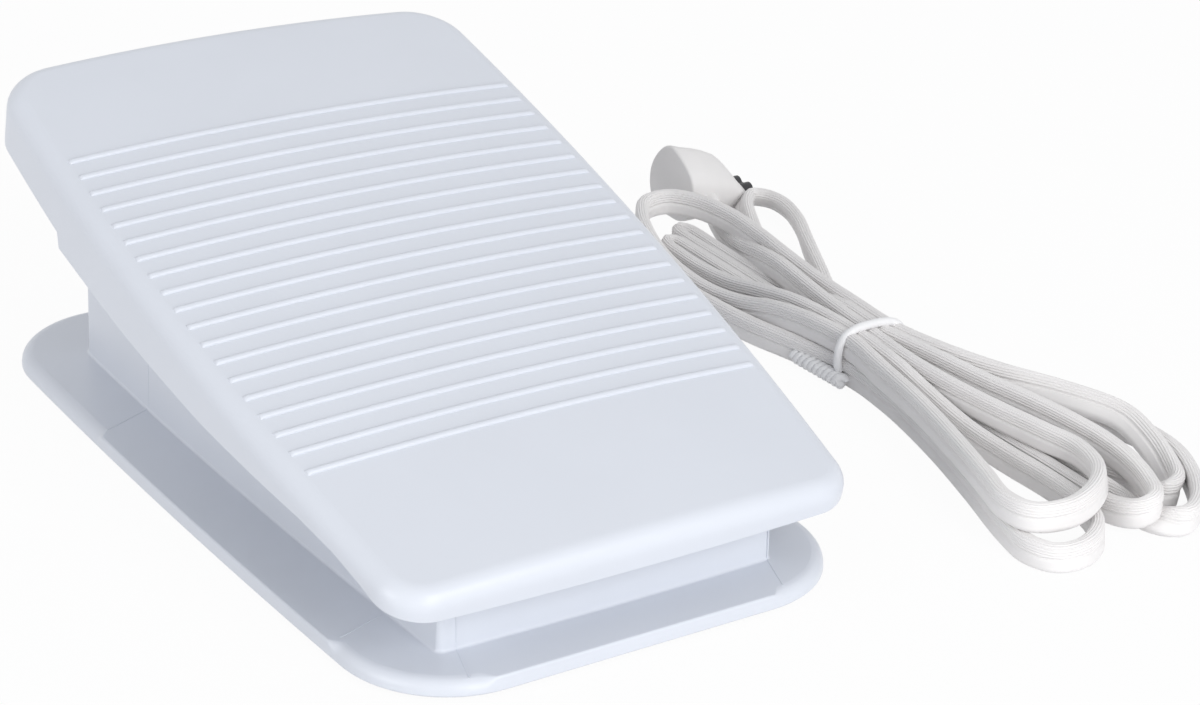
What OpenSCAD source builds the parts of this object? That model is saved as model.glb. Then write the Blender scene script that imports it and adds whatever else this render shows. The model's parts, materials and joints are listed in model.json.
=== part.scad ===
/* [Base] */
// Length of the base flange, heel to toe
base_l = 186; // [180:1:192]
// Width of the base flange at mid length
base_w = 111; // [106:1:116]
// How much each side of the flange moves out from mid length to the toe
base_taper = 1.7; // [0:0.1:3]
// How far each side of the flange bows out
base_bulge = 2; // [0:0.1:4]
// Corner radius of the flange
base_r = 23; // [18:1:26]
// Thickness of the flange
base_t = 3.4; // [3:0.1:5]
// Edge rounding at the flange corners
edge_soft = 2.6; // [0.8:0.1:2.8]
// Edge rounding along the straight flange sides
edge_crisp = 0.5; // [0.2:0.1:1]
// Half width of the straight, crisp part of the flange at heel and toe
crisp_half_x = 31; // [20:1:40]
// Rear end of the straight, crisp part of the flange sides
crisp_toe_y = 39; // [20:1:60]
// Front end of the straight, crisp part of the flange sides
crisp_heel_y = -63; // [-65:1:-30]

/* [Box] */
// Length of the raised box
box_l = 154; // [150:1:158]
// Distance from the heel edge of the flange to the box
box_in = 12.5; // [11:0.5:15]
// Width of the raised box at mid length
box_w = 82.2; // [78:0.2:86]
// How much each side of the box moves out from mid length to the toe
box_taper = 2.2; // [0:0.1:3]
// How far each side of the box bows out
box_bulge = 1.9; // [0:0.1:3]
// Corner radius of the box
box_r = 4; // [3:0.5:8]
// Inward lean of the box walls from flange to deck
box_draft = 0.6; // [0:0.1:1]
// Wall thickness of the box
wall = 2.5; // [2:0.1:3]
// Thickness of the sloping deck
deck_t = 2.5; // [2:0.1:3]
// Room between the deck and the fully pressed lid
deck_gap = 4; // [3:0.5:5]

/* [Lid] */
// Length of the lid along its slope
lid_l = 182; // [178:1:186]
// Width of the lid at mid length
lid_w = 114.4; // [110:0.2:118]
// How much each side of the lid moves out from mid length to the toe
lid_taper = 2.1; // [0:0.1:3]
// How far each side of the lid bows out
lid_bulge = 4.2; // [2:0.1:5]
// Corner radius of the lid
lid_r = 13; // [9:0.5:16]
// Radius of the corners at the heel of the lid
lid_heel_r = 9.5; // [8:0.5:14]
// Rounding of the top edge
lid_edge = 4; // [2:0.5:5]
// Rise of the tread from the sides to the centre line
crown = 2.1; // [0.5:0.1:3]
// Wall thickness of the lid
lid_t = 2.6; // [2:0.1:3]
// Slope of the lid at rest
tilt = 14.8; // [13:0.1:16]
// Reach of the lid ahead of the hinge axis
heel_over = 14.7; // [13:0.1:17]
// Height of the tread above the hinge axis, square to the lid
lid_rise = 14.3; // [13.5:0.1:16]
// Skirt depth at the heel
skirt_heel = 7; // [5.5:0.5:8.5]
// Skirt depth where it is shallowest, a little way up from the heel
skirt_dip = 4.4; // [4.2:0.1:5.5]
// Distance from the hinge to the shallowest part of the skirt
dip_v = 8; // [4:0.5:14]
// Skirt depth at its bend
skirt_mid = 11; // [9.5:0.1:12.5]
// Distance from the hinge to the bend in the skirt
knee_v = 56; // [48:1:64]
// Skirt depth where it steps
skirt_step = 16.1; // [14:0.1:18]
// Height of the step in the skirt
step_h = 3.1; // [0.5:0.1:4]
// Distance from the hinge to the step in the skirt
step_v = 124; // [110:1:135]
// Skirt depth at the toe
skirt_toe = 12.7; // [11:0.1:15]

/* [Tread] */
// Number of ribs across the tread
rib_count = 19; // [10:1:20]
// Spacing of the ribs
rib_pitch = 5.86; // [5:0.02:6]
// Distance from the hinge to the rib nearest the heel
rib_start = 24.9; // [22:0.1:28]
// Width of one rib
rib_w = 1.5; // [1.2:0.1:2.4]
// Height of one rib
rib_h = 0.6; // [0.4:0.1:1]
// Length of the slope at each rib end
rib_end = 1; // [0.5:0.1:2]

/* [Hinge] */
// Distance of the hinge axis behind the heel wall of the box
hinge_in = 6.5; // [6.5:0.1:7]
// Height of the hinge axis above the floor
hinge_z = 14; // [13:0.5:16]
// Travel of the lid, in degrees
press_angle = 8; // [6:0.5:8]
// Diameter of the hinge rod
rod_d = 3.2; // [2.8:0.2:4]
// Running clearance round the rod
rod_clear = 0.05; // [0.02:0.01:0.1]
// Outside radius of the hinge lugs
lug_r = 3.4; // [3.1:0.1:3.5]
// Length of each hinge lug along the lid
lug_neck = 8; // [6:0.5:10]
// Width of each hinge lug
lug_w = 6; // [4:0.5:8]
// Distance of each hinge lug from the centre line
lug_x = 24; // [20:1:26]
// Thickness of the webs that hold the rod
web_t = 3; // [2:0.5:4]
// Side room between lugs and webs
lug_gap = 0.5; // [0.3:0.1:1]

/* [Stops] */
// Distance of each stop hook from the centre line
hook_x = 23; // [20:1:26]
// Distance of the stop hooks from the toe wall of the box
hook_in = 17.5; // [16:0.5:19]
// Width of a stop hook
hook_w = 7; // [5:0.5:9]
// Thickness of a stop hook
hook_t = 3; // [2:0.5:4]
// Reach of the hook nose under the deck
nose = 5; // [4:0.5:5.5]
// Height of the hook nose
nose_h = 3; // [2:0.5:4]
// Room between the hook arm and its slot
hook_room = 1.4; // [1.2:0.1:1.8]
// Room between the hook nose and the deck at rest
stop_gap = 0.35; // [0.2:0.05:0.6]

/* [Return spring] */
// Distance of the spring axis from the toe wall of the box
spring_in = 21.5; // [20:0.5:24]
// Mean diameter of the return spring
spring_d = 15; // [12:0.5:17]
// Wire diameter of the return spring
spring_wire = 1.6; // [1:0.1:2]
// Turns of the return spring
spring_turns = 6; // [4:1:7]
// Depth of the spring well under the deck
well_depth = 12; // [9:0.5:13]
// Room round the spring in its well
well_clear = 1.2; // [0.8:0.1:2]
// Diameter of the post that centres the spring under the lid
post_d = 6.5; // [5:0.5:7]
// Length of that post
post_l = 5; // [3:0.5:6]

/* [Plunger] */
// Plunger axis across the base
plunger_x = 6; // [5:0.5:7]
// Place of the plunger along the box, as a share of its length
plunger_share = 0.652; // [0.62:0.002:0.67]
// Diameter of the plunger stem
stem_d = 8; // [6:0.5:9]
// Sliding clearance round the stem
stem_clear = 0.06; // [0.03:0.01:0.1]
// Diameter of the plunger cap
cap_d = 13; // [11:0.5:13.5]
// Thickness of the plunger cap
cap_t = 2.5; // [2:0.5:3]
// Radius of the round nose that pushes the plunger
pad_r = 1.6; // [1.2:0.1:2]
// Room between that nose and the plunger cap
cap_gap = 0.35; // [0.3:0.05:0.5]
// Depth of the pocket under the deck for the plunger spring
pocket_depth = 3; // [2:0.5:4]
// Length of the guide below that pocket
guide_l = 3.5; // [3:0.5:4]
// Wire diameter of the plunger spring
plunger_wire = 0.8; // [0.6:0.1:0.9]
// Turns of the plunger spring
plunger_turns = 5; // [4:1:5]

/* [Crank] */
// Length of the crank arm on the potentiometer
arm_r = 16; // [14:0.5:18]
// Diameter of the crank pin
pin_d = 3; // [2.5:0.1:3.5]
// Room round the crank pin in its slot
pin_clear = 0.3; // [0.25:0.05:0.5]
// Thickness of the crank arm
arm_t = 2.2; // [1.8:0.1:2.6]
// Thickness of the plunger tab that carries the slot
tab_t = 3; // [2:0.5:4]
// Height of the plunger tab
tab_h = 7; // [6:0.5:8]
// Diameter of the potentiometer
pot_d = 17; // [15:0.5:19]
// Depth of the potentiometer
pot_l = 9; // [8:0.5:11]
// Diameter of the potentiometer shaft
shaft_d = 6; // [5:0.5:6.5]
// Diameter of the threaded bush
bush_d = 8; // [7.5:0.5:9]

/* [Underside] */
// Thickness of the bottom plate
plate_t = 2; // [1.6:0.1:2.2]
// Width of the ledge that the bottom plate seats on
plate_lip = 1.5; // [1:0.1:1.8]
// Room round the bottom plate
plate_clear = 0.2; // [0.1:0.05:0.4]
// How far the rubber feet stand below the flange
foot_drop = 1; // [0.6:0.1:2]
// Diameter of a rubber foot
foot_d = 10; // [8:0.5:11]
// Depth of the foot recess
foot_in = 1; // [0.6:0.1:1.2]
// Distance of each foot from the side of the box
foot_side = 17; // [15:1:20]
// Distance of each foot from the end of the box
foot_end = 8; // [8:0.5:12]
// Screw shank diameter
screw_d = 2.6; // [2:0.1:3]
// Screw head diameter
head_d = 5.6; // [4.5:0.1:6]
// Screw head height
head_h = 1.3; // [1:0.1:1.4]
// Radius of a screw boss
boss_r = 3.6; // [3.2:0.1:4]
// Room round a screw shank
screw_clear = 0.05; // [0.03:0.01:0.1]

/* [Board] */
// Length of the circuit board
board_l = 84; // [78:1:86]
// Width of the circuit board
board_w = 27; // [26:0.5:28]
// Thickness of the circuit board
board_t = 1.6; // [1.2:0.1:2]
// Distance from the left side of the box to the middle of the board
board_side = 21.6; // [21:0.1:22.6]
// Distance from the middle of the box to the middle of the board
board_shift = -0.5; // [-3:0.5:2]
// Height of the board stand-offs
standoff_h = 5; // [4:0.5:6]

/* [Cord] */
// Width of the flat lead
cord_w = 6.2; // [5.8:0.1:6.6]
// Thickness of the flat lead
cord_t = 3.1; // [2.9:0.1:3.3]
// Height of the lead where it leaves the box
cord_z = 13; // [12:0.5:14]
// Length of the strain relief outside the box
relief_l = 24; // [20:1:40]
// Height of the tied hank
hank_h = 12.6; // [12:0.2:15]
// Length of the plug body
plug_l = 20; // [18:0.5:22]
// Width of the plug body
plug_w = 21; // [19:0.5:23]
// Height of the plug body
plug_h = 19; // [17:0.5:21]

/* [Hidden] */
$fn = 48;
// Small overlap that joins solids within one moulding
weld = 0.4;
lid_gap = 0.2;
// Room between pieces of one body that only touch
seat = 0.02;

moulded = [0.87, 0.89, 0.93];
ivory = [0.90, 0.89, 0.85];
steel = [0.75, 0.76, 0.78];
board_green = [0.13, 0.36, 0.22];

floor_z = foot_drop;
flange_z = floor_z + base_t;
plate_z = floor_z + plate_t;
board_z = plate_z + standoff_h;
board_top = board_z + board_t;
box_heel = box_in - base_l / 2;
box_toe = box_heel + box_l;
box_y = (box_heel + box_toe) / 2;
hinge_y = box_heel + hinge_in;
hook_v = (box_toe - hook_in - hinge_y) / cos(tilt);
spring_y = box_toe - spring_in;
plunger_y = box_heel + plunger_share * box_l;
foot_x = box_w / 2 - foot_side;
foot_spots = [for (s = [-1, 1]) each [[s * foot_x, box_heel + foot_end], [s * foot_x, box_toe - foot_end]]];
board_x = board_side - box_w / 2;
board_y = box_y + board_shift;

// Outline of a plan form: length, width, taper, bulge, corner radius, middle, end bow
end_bow = 0.6;
base_plan = [base_l, base_w, base_taper, base_bulge, base_r, 0, 0];
box_plan = [box_l, box_w, box_taper, box_bulge, box_r, box_y, end_bow];
lid_mid = lid_l / 2 - heel_over;
lid_plan = [lid_l - 2 * end_bow, lid_w, lid_taper, lid_bulge, lid_r, lid_mid, end_bow, lid_heel_r];
corner_steps = 6;
side_steps = 8;
columns = 7;
end_share = 0.02;

function share(o, y) = (y - o[5]) / (o[0] / 2);
function side_x(o, y) = o[1] / 2 + o[2] * share(o, y) - o[3] * pow(share(o, y), 2);
function heel_y(o) = o[5] - o[0] / 2;
function toe_y(o) = o[5] + o[0] / 2;

// Straight rows between the two corners of a plan form
function even_rows(o) = [
  for (i = [1:side_steps - 1])
    heel_y(o) + o[4] + (o[0] - 2 * o[4]) * i / side_steps
];
// Right half of an outline, heel to toe: place and outward normal of each point
function right_half(o, rows) =
  let (
    r = o[4],
    heel_r = len(o) > 7 ? o[7] : r,
    heel_c = [side_x(o, heel_y(o) + heel_r) - heel_r, heel_y(o) + heel_r],
    toe_c = [side_x(o, toe_y(o) - r) - r, toe_y(o) - r]
  )
  concat(
    quarter(heel_c, heel_r, -90),
    [for (y = rows) [[side_x(o, y), y], [1, 0]]],
    quarter(toe_c, r, 0)
  );
function quarter(centre, r, start) = [
  for (k = [0:corner_steps])
    let (a = start + 90 * k / corner_steps, out = [cos(a), sin(a)])
    [centre + r * out, out]
];
// Column j of the tread as a share of the half width, closer together at the two rib ends
function column(j, edge) =
  j == 0 ? -1 : j == columns ? 1 : (1 - edge) * (2 * (j - 1) / (columns - 2) - 1);
function end_row(o, x, y, dir) =
  [
    for (j = [1:columns - 1])
      let (c = column(j, end_share))
      [[c * x, y + dir * o[6] * (1 - c * c)], [0, dir]]
  ];
function mirrored(v) = [-v.x, v.y];
function flip_x(list) = [for (i = [len(list) - 1:-1:0]) [mirrored(list[i][0]), mirrored(list[i][1])]];
function turned(list) = [for (i = [len(list) - 1:-1:0]) list[i]];
// Whole outline, anticlockwise from the heel on the right
function plan(o, rows) =
  let (half = right_half(o, rows), n = len(half) - 1)
  concat(
    half,
    turned(end_row(o, half[n][0].x, toe_y(o), 1)),
    flip_x(half),
    end_row(o, half[0][0].x, heel_y(o), -1)
  );
function inset(p, d) = p[0] - d * p[1];
function ring(points, d, z) = [for (p = points) let (q = inset(p, d)) [q.x, q.y, z]];
function flat(points, d) = [for (p = points) inset(p, d)];

// Faces between stacked rings of n points, from ring a to ring b
function strip(a, b, n) = [
  for (i = [0:n - 1])
    let (j = (i + 1) % n)
    each [[a + i, b + i, b + j], [a + i, b + j, a + j]]
];
function stack(n, last) = [for (k = [0:last - 1]) each strip(k * n, (k + 1) * n, n)];
module loft(rings) {
  n = len(rings[0]);
  last = len(rings) - 1;
  polyhedron(
    points = [for (r = rings) each r],
    faces = concat([[for (i = [0:n - 1]) i]], stack(n, last), [[for (i = [n - 1:-1:0]) last * n + i]])
  );
}
// Closing face of a plan outline, row by row, with a fan at the heel and at the toe
function fan(pivot, rim) = [for (k = [0:len(rim) - 2]) [pivot, rim[k + 1], rim[k]]];
function plan_cap(n, first) =
  let (last = n / 2 - columns, left = 2 * last + columns)
  [
    for (f = concat(
      fan(last - 1, [for (i = [last:left - last + 1]) i]),
      fan(left - 1, concat([for (i = [left:n - 1]) i], [0, 1])),
      [for (i = [1:last - 2]) each [[i, left - i, left - i - 1], [i, left - i - 1, i + 1]]]
    )) [for (i = f) first + i]
  ];
module plan_loft(rings) {
  n = len(rings[0]);
  last = len(rings) - 1;
  polyhedron(
    points = [for (r = rings) each r],
    faces = concat([for (f = plan_cap(n, 0)) turned(f)], stack(n, last), plan_cap(n, last * n))
  );
}

// Tube of oval section along a route: half width across, half height upright
function unit(v) = v / norm(v);
function heading(path, i) = unit(path[min(i + 1, len(path) - 1)] - path[max(i - 1, 0)]);
module tube(path, half_w, half_h, sides, upright = [0, 0, 1]) {
  loft([
    for (i = [0:len(path) - 1])
      let (t = heading(path, i), side = unit(cross(t, upright)), up = cross(side, t))
      [
        for (s = [0:sides - 1])
          let (a = -360 * s / sides)
          path[i] + half_w * cos(a) * side + half_h * sin(a) * up
      ]
  ]);
}
module coil(d, wire, turns, z0, z1) {
  steps = 12;
  count = turns * steps;
  rise = z1 - z0 - wire;
  tube(
    [
      for (k = [0:count])
        let (a = 360 * k / steps)
        [d / 2 * cos(a), d / 2 * sin(a), z0 + wire / 2 + rise * k / count]
    ],
    wire / 2, wire / 2, 6
  );
}

// The deck lies parallel to the fully pressed lid
deck_tilt = tilt - press_angle;
function deck_z(y) =
  hinge_z + (lid_rise - lid_t - deck_gap) / cos(deck_tilt) + tan(deck_tilt) * (y - hinge_y);
function under_z(y) = deck_z(y) - deck_t;
// A point at the hinge frame's distances along and above the lid, carried into the base frame
function lid_y(v, w) = hinge_y + v * cos(tilt) - w * sin(tilt);
function lid_z(v, w) = hinge_z + v * sin(tilt) + w * cos(tilt);
lid_under = lid_rise - lid_t;
module in_lid() {
  translate([0, hinge_y, hinge_z]) rotate([tilt, 0, 0]) children();
}
module along_x(x0, x1, r) {
  translate([x0, 0, 0]) rotate([0, 90, 0]) cylinder(r = r, h = x1 - x0);
}
module block(low, high) {
  translate(low) cube(high - low);
}

// Plan points of the base
base_points = plan(base_plan, even_rows(base_plan));
box_points = plan(box_plan, even_rows(box_plan));
function is_crisp(p) =
  abs(p[0].x) < crisp_half_x || (p[0].y > crisp_heel_y && p[0].y < crisp_toe_y);
function edge_at(p) = is_crisp(p) ? edge_crisp : edge_soft;
function edge_ring(a) = [
  for (p = base_points)
    let (e = edge_at(p), q = inset(p, e * (1 - cos(a))))
    [q.x, q.y, flange_z - e * (1 - sin(a))]
];

// Screw places
screw_heel = [box_w / 2 - 12, box_heel + 22.5];
screw_toe = [box_w / 2 - 8.2, box_toe - 6.2];
plate_screw_spots = [
  for (s = [-1, 1])
    each [[s * screw_heel.x, screw_heel.y], [s * screw_toe.x, screw_toe.y]]
];
board_edge = 3;
board_spots = [
  for (sx = [-1, 1], sy = [-1, 1])
    [board_x + sx * (board_w / 2 - board_edge), board_y + sy * (board_l / 2 - board_edge)]
];
clamp_y = box_toe - wall - 11;
clamp_reach = 8;
clamp_spots = [for (s = [-1, 1]) [s * clamp_reach, clamp_y]];

rod_r = rod_d / 2;
rod_half = lug_x + lug_w / 2 + lug_gap + web_t;
web_centres = [for (s = [-1, 1], k = [-1, 1]) s * lug_x + k * (lug_w / 2 + lug_gap + web_t / 2)];

// Spring well, plunger pocket and guide
well_floor = deck_z(spring_y) - well_depth;
well_r = spring_d / 2 + spring_wire / 2 + well_clear;
pocket_floor = deck_z(plunger_y) - pocket_depth;
pocket_r = cap_d / 2 + 0.7;
guide_r = stem_d / 2 + 3;
guide_end = pocket_floor - guide_l;

// A round nose under the lid pushes the plunger cap; both drop together over the travel
pad_far = plunger_y - hinge_y;
pad_v = (pad_far + lid_under * sin(tilt)) / cos(tilt);
pad_high = pad_v * sin(tilt) + lid_under * cos(tilt);
cap_top = hinge_z + pad_high - pad_r - cap_gap;
plunger_drop = pad_high - (pad_high * cos(press_angle) - pad_far * sin(press_angle));
stem_low = guide_end - tab_h - 0.5;

// Crank: level at half travel
crank_swing = asin(plunger_drop / 2 / arm_r);
crank_pin_z = stem_low + tab_h / 2;
crank_z = crank_pin_z - plunger_drop / 2;
crank_pin_y = plunger_y + stem_d / 2 + 6;
crank_y = crank_pin_y + arm_r * cos(crank_swing);
tab_x = plunger_x + stem_d / 2;
arm_x = tab_x + tab_t + 0.4;
nut_x = arm_x + arm_t + 0.8;
nut_t = 2.4;
bracket_x = nut_x + nut_t;
bracket_t = 1.5;
pot_x = bracket_x + bracket_t;
shaft_r = shaft_d / 2;
shaft_room = 0.05;
bracket_half = 8;
bracket_foot = 13;
bracket_spots = [for (s = [-1, 1]) [pot_x + bracket_foot / 2, crank_y + s * (bracket_half - 3)]];

module screw(spot, z_head, shank, up) {
  translate([spot.x, spot.y, z_head]) mirror([0, 0, up ? 0 : 1]) {
    difference() {
      cylinder(r = head_d / 2, h = head_h);
      translate([0, 0, -0.1]) {
        block([-head_d / 3, -0.3, 0], [head_d / 3, 0.3, 0.7]);
        block([-0.3, -head_d / 3, 0], [0.3, head_d / 3, 0.7]);
      }
    }
    cylinder(r = screw_d / 2, h = head_h + shank);
  }
}
module hole(spot, z0, z1, r) {
  translate([spot.x, spot.y, z0]) cylinder(r = r, h = z1 - z0);
}
shank_l = 6;
hole_r = screw_d / 2 + screw_clear;

module housing_solid() {
  plan_loft([ring(base_points, 0, floor_z), edge_ring(0), edge_ring(45), edge_ring(90)]);
  plan_loft([
    ring(box_points, 0, flange_z - weld),
    [for (p = box_points) let (q = inset(p, box_draft)) [q.x, q.y, deck_z(q.y)]]
  ]);
}
module cavity() {
  plan_loft([
    ring(box_points, wall, floor_z - weld),
    [for (p = box_points) let (q = inset(p, wall + box_draft)) [q.x, q.y, under_z(q.y)]]
  ]);
  translate([0, 0, floor_z - weld])
    linear_extrude(plate_t + weld) polygon(flat(box_points, -plate_lip + wall));
}
module deck_pillar(spot, r, z0) {
  intersection() {
    hole(spot, z0, deck_z(spot.y) + r, r);
    under_deck();
  }
}
// Everything below the top face of the deck
module under_deck() {
  half = box_w;
  rotate([90, 0, 90]) translate([0, 0, -half])
    linear_extrude(2 * half)
      polygon([
        [-base_l, 0], [base_l, 0], [base_l, deck_z(base_l) - weld], [-base_l, deck_z(-base_l) - weld]
      ]);
}
module base_housing() {
  lug_room = lug_w / 2 + lug_gap;
  slot_room = 0.8;
  color(moulded) difference() {
    union() {
      difference() {
        housing_solid();
        cavity();
      }
      for (s = plate_screw_spots) deck_pillar(s, boss_r, plate_z);
      for (x = web_centres)
        intersection() {
          block(
            [x - web_t / 2, hinge_y - lug_r - wall, hinge_z - lug_r],
            [x + web_t / 2, hinge_y + lug_neck, deck_z(hinge_y) + lug_neck]
          );
          under_deck();
        }
      deck_pillar([0, spring_y], well_r + wall, well_floor - wall);
      deck_pillar([plunger_x, plunger_y], pocket_r + wall, pocket_floor - wall);
      hole([plunger_x, plunger_y], guide_end, pocket_floor - wall / 2, guide_r);
    }
    for (s = plate_screw_spots) hole(s, floor_z, plate_z + shank_l + 1, hole_r);
    for (s = [-1, 1])
      block(
        [s * lug_x - lug_room, hinge_y - lug_r + slot_room, hinge_z],
        [s * lug_x + lug_room, hinge_y + lug_neck + slot_room, deck_z(hinge_y) + lug_neck]
      );
    translate([0, hinge_y, hinge_z]) along_x(-rod_half, rod_half, rod_r + seat);
    for (s = [-1, 1])
      block(
        [s * hook_x - hook_w / 2 - hook_room, hook_slot_front, under_z(hook_slot_front) - nose],
        [s * hook_x + hook_w / 2 + hook_room, hook_slot_back, deck_z(hook_slot_back) + nose]
      );
    hole([0, spring_y], well_floor, deck_z(spring_y) + well_r, well_r);
    hole([plunger_x, plunger_y], pocket_floor, deck_z(plunger_y) + pocket_r, pocket_r);
    hole([plunger_x, plunger_y], guide_end - 1, pocket_floor + 1, stem_d / 2 + stem_clear);
    translate([0, toe_y(box_plan), cord_z]) rotate([90, 0, 0]) translate([0, 0, -end_bow - 1])
      cylinder(r = relief_neck, h = wall + 4);
  }
}

// Hook: a square arm through a slot in the deck, its nose under the heel side of that slot
hook_lean = tan(deck_tilt);
hook_nose_top =
  (under_z(hinge_y) - hinge_z - stop_gap + (hook_v - hook_room) * (hook_lean * cos(tilt) - sin(tilt)))
  / (cos(tilt) + hook_lean * sin(tilt));
hook_slot_front = lid_y(hook_v, hook_nose_top + deck_t) - hook_room;
hook_slot_back = lid_y(hook_v + hook_t, hook_nose_top + deck_t) + hook_room;

module bottom_plate() {
  color(moulded) difference() {
    union() {
      translate([0, 0, floor_z]) linear_extrude(plate_t)
        polygon(flat(box_points, -plate_lip + wall + plate_clear));
      for (s = board_spots) hole(s, plate_z - weld, board_z, boss_r - 0.6);
      for (s = clamp_spots) hole(s, plate_z - weld, clamp_low, boss_r - 0.6);
      block(
        [-clamp_reach / 2, clamp_y - boss_r, plate_z - weld],
        [clamp_reach / 2, clamp_y + boss_r, clamp_low]
      );
    }
    for (s = foot_spots) hole(s, 0, floor_z + foot_in, foot_d / 2 + plate_clear);
    for (s = plate_screw_spots) {
      hole(s, floor_z - 1, plate_z + 1, hole_r);
      hole(s, floor_z - 1, floor_z + head_h, head_d / 2 + plate_clear);
    }
    for (s = board_spots) hole(s, board_z - shank_l + 2, board_z + 1, hole_r);
    for (s = clamp_spots) hole(s, clamp_low - shank_l + 2, clamp_low + 1, hole_r);
    for (s = bracket_spots) hole(s, floor_z + 0.6, plate_z + 1, hole_r);
  }
}
module plate_screws() {
  color(steel) for (s = plate_screw_spots) screw(s, floor_z, shank_l, true);
}
foot_chamfer = 0.5;
module rubber_feet() {
  r = foot_d / 2;
  top = floor_z + foot_in;
  color([0.2, 0.2, 0.21])
    for (s = foot_spots)
      translate([s.x, s.y, 0])
        rotate_extrude() polygon([[0, 0], [r - foot_chamfer, 0], [r, foot_chamfer], [r, top], [0, top]]);
}
module hinge_rod() {
  color(steel) translate([0, hinge_y, hinge_z]) along_x(-rod_half, rod_half, rod_r);
}

// Rows of the tread: four to a rib, and a few in the plain ends
rib_places = [for (k = [0:rib_count - 1]) rib_start + k * rib_pitch];
plain_rows = 2;
heel_first = heel_y(lid_plan) + lid_heel_r;
toe_last = toe_y(lid_plan) - lid_r;
rib_last = rib_places[rib_count - 1];
function spread(a, b) = [for (i = [1:plain_rows]) a + (b - a) * i / (plain_rows + 1)];
lid_rows = concat(
  spread(heel_first, rib_start),
  [for (v = rib_places) each [v - rib_w / 2, v - rib_w / 4, v + rib_w / 4, v + rib_w / 2]],
  spread(rib_last, toe_last)
);
function plain(n) = [for (i = [1:n]) 0];
row_height = concat(
  plain(corner_steps + 1 + plain_rows),
  [for (v = rib_places) each [0, rib_h, rib_h, 0]],
  plain(corner_steps + 1 + plain_rows)
);
lid_points = plan(lid_plan, lid_rows);
function tread_w(x) = lid_rise - crown * pow(x / (lid_w / 2), 2);
step_run = rib_w / 2;
skirt_profile = [
  [heel_y(lid_plan), skirt_heel], [dip_v, skirt_dip], [knee_v, skirt_mid], [step_v - step_run, skirt_step],
  [step_v + step_run, skirt_step - step_h], [toe_y(lid_plan), skirt_toe]
];
function skirt_ring(d) = [
  for (p = lid_points)
    let (q = inset(p, d))
    [q.x, q.y, tread_w(q.x) - lookup(p[0].y, skirt_profile)]
];
function tread_ring(d, drop) = [
  for (p = lid_points)
    let (q = inset(p, d))
    [q.x, q.y, tread_w(q.x) - drop]
];
bead_steps = 4;
bead_rings = [
  for (k = [0:bead_steps]) let (a = 90 * k / bead_steps)
    tread_ring(lid_edge * (1 - cos(a)), lid_edge * (1 - sin(a)))
];
// Points of a tread surface inside its edge ring
function field(edge, last, drop, ribs) = [
  for (i = [1:last - 1], j = [1:columns - 1])
    let (x = edge[i].x * column(j, rib_end / edge[i].x))
    [x, edge[i].y, tread_w(x) - drop + (ribs ? row_height[i] : 0)]
];
function cell(i, j, last, ring0, field0) =
  j == columns ? ring0 + i
  : j == 0 ? ring0 + 2 * last + columns - i
  : i == 0 ? ring0 + 2 * last + columns + j
  : i == last ? ring0 + last + columns - j
  : field0 + (i - 1) * (columns - 1) + j - 1;
function sheet(last, ring0, field0, outside) = [
  for (i = [0:last - 1], j = [0:columns - 1])
    let (
      a = cell(i, j, last, ring0, field0), b = cell(i + 1, j, last, ring0, field0),
      c = cell(i + 1, j + 1, last, ring0, field0), d = cell(i, j + 1, last, ring0, field0)
    )
    each outside ? [[a, b, c], [a, c, d]] : [[a, c, b], [a, d, c]]
];
module lid_shell() {
  n = len(lid_points);
  last = n / 2 - columns;
  outer = concat([skirt_ring(0)], bead_rings);
  top0 = (len(outer) - 1) * n;
  field0 = len(outer) * n;
  inside_edge = tread_ring(lid_t, lid_t);
  top_field = field(outer[len(outer) - 1], last, 0, true);
  low0 = field0 + len(top_field);
  inner0 = low0 + n;
  inner_field0 = inner0 + n;
  polyhedron(
    points = concat(
      [for (r = outer) each r], top_field,
      skirt_ring(lid_t), inside_edge, field(inside_edge, last, lid_t, false)
    ),
    faces = concat(
      [for (k = [0:len(outer) - 2]) each strip(k * n, (k + 1) * n, n)],
      sheet(last, top0, field0, true),
      strip(inner0, low0, n),
      strip(low0, 0, n),
      sheet(last, inner0, inner_field0, false)
    )
  );
}
module hook(s) {
  translate([s * hook_x - hook_w / 2, 0, 0]) {
    block([0, hook_v, hook_nose_top - nose_h], [hook_w, hook_v + hook_t, lid_under + weld - crown / 4]);
    block([0, hook_v - nose, hook_nose_top - nose_h], [hook_w, hook_v + weld, hook_nose_top]);
  }
}
module lug(s) {
  difference() {
    translate([s * lug_x, 0, 0]) {
      along_x(-lug_w / 2, lug_w / 2, lug_r);
      block([-lug_w / 2, 0, 0], [lug_w / 2, lug_neck, lid_under - crown / 4 + weld]);
    }
    along_x(-lug_x - lug_w, lug_x + lug_w, rod_r + rod_clear);
  }
}
stiff_x = lid_w / 2 - 11;
stiff_h = 5;
stiff_t = 1.6;
module lid() {
  half_tilt = tilt - press_angle / 2;
  post_v = (spring_y - hinge_y + (lid_under - post_l) * sin(half_tilt)) / cos(half_tilt);
  color(moulded) in_lid() {
    lid_shell();
    for (s = [-1, 1]) {
      lug(s);
      hook(s);
      block(
        [s * stiff_x - stiff_t / 2, skirt_mid, lid_under - crown - stiff_h],
        [s * stiff_x + stiff_t / 2, toe_y(lid_plan) - lid_r - skirt_mid, lid_under - crown / 2]
      );
    }
    translate([0, post_v, lid_under - post_l]) cylinder(r = post_d / 2, h = post_l + weld);
    translate([plunger_x, pad_v, lid_under]) along_x(-cap_d / 3, cap_d / 3, pad_r);
  }
}

spring_front = spring_y - hinge_y - spring_d / 2 - spring_wire;
spring_top = hinge_z + lid_under / cos(tilt) + tan(tilt) * spring_front - lid_gap;
module return_spring() {
  color(steel) translate([0, spring_y, 0])
    coil(spring_d, spring_wire, spring_turns, well_floor + seat, spring_top);
}

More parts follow.
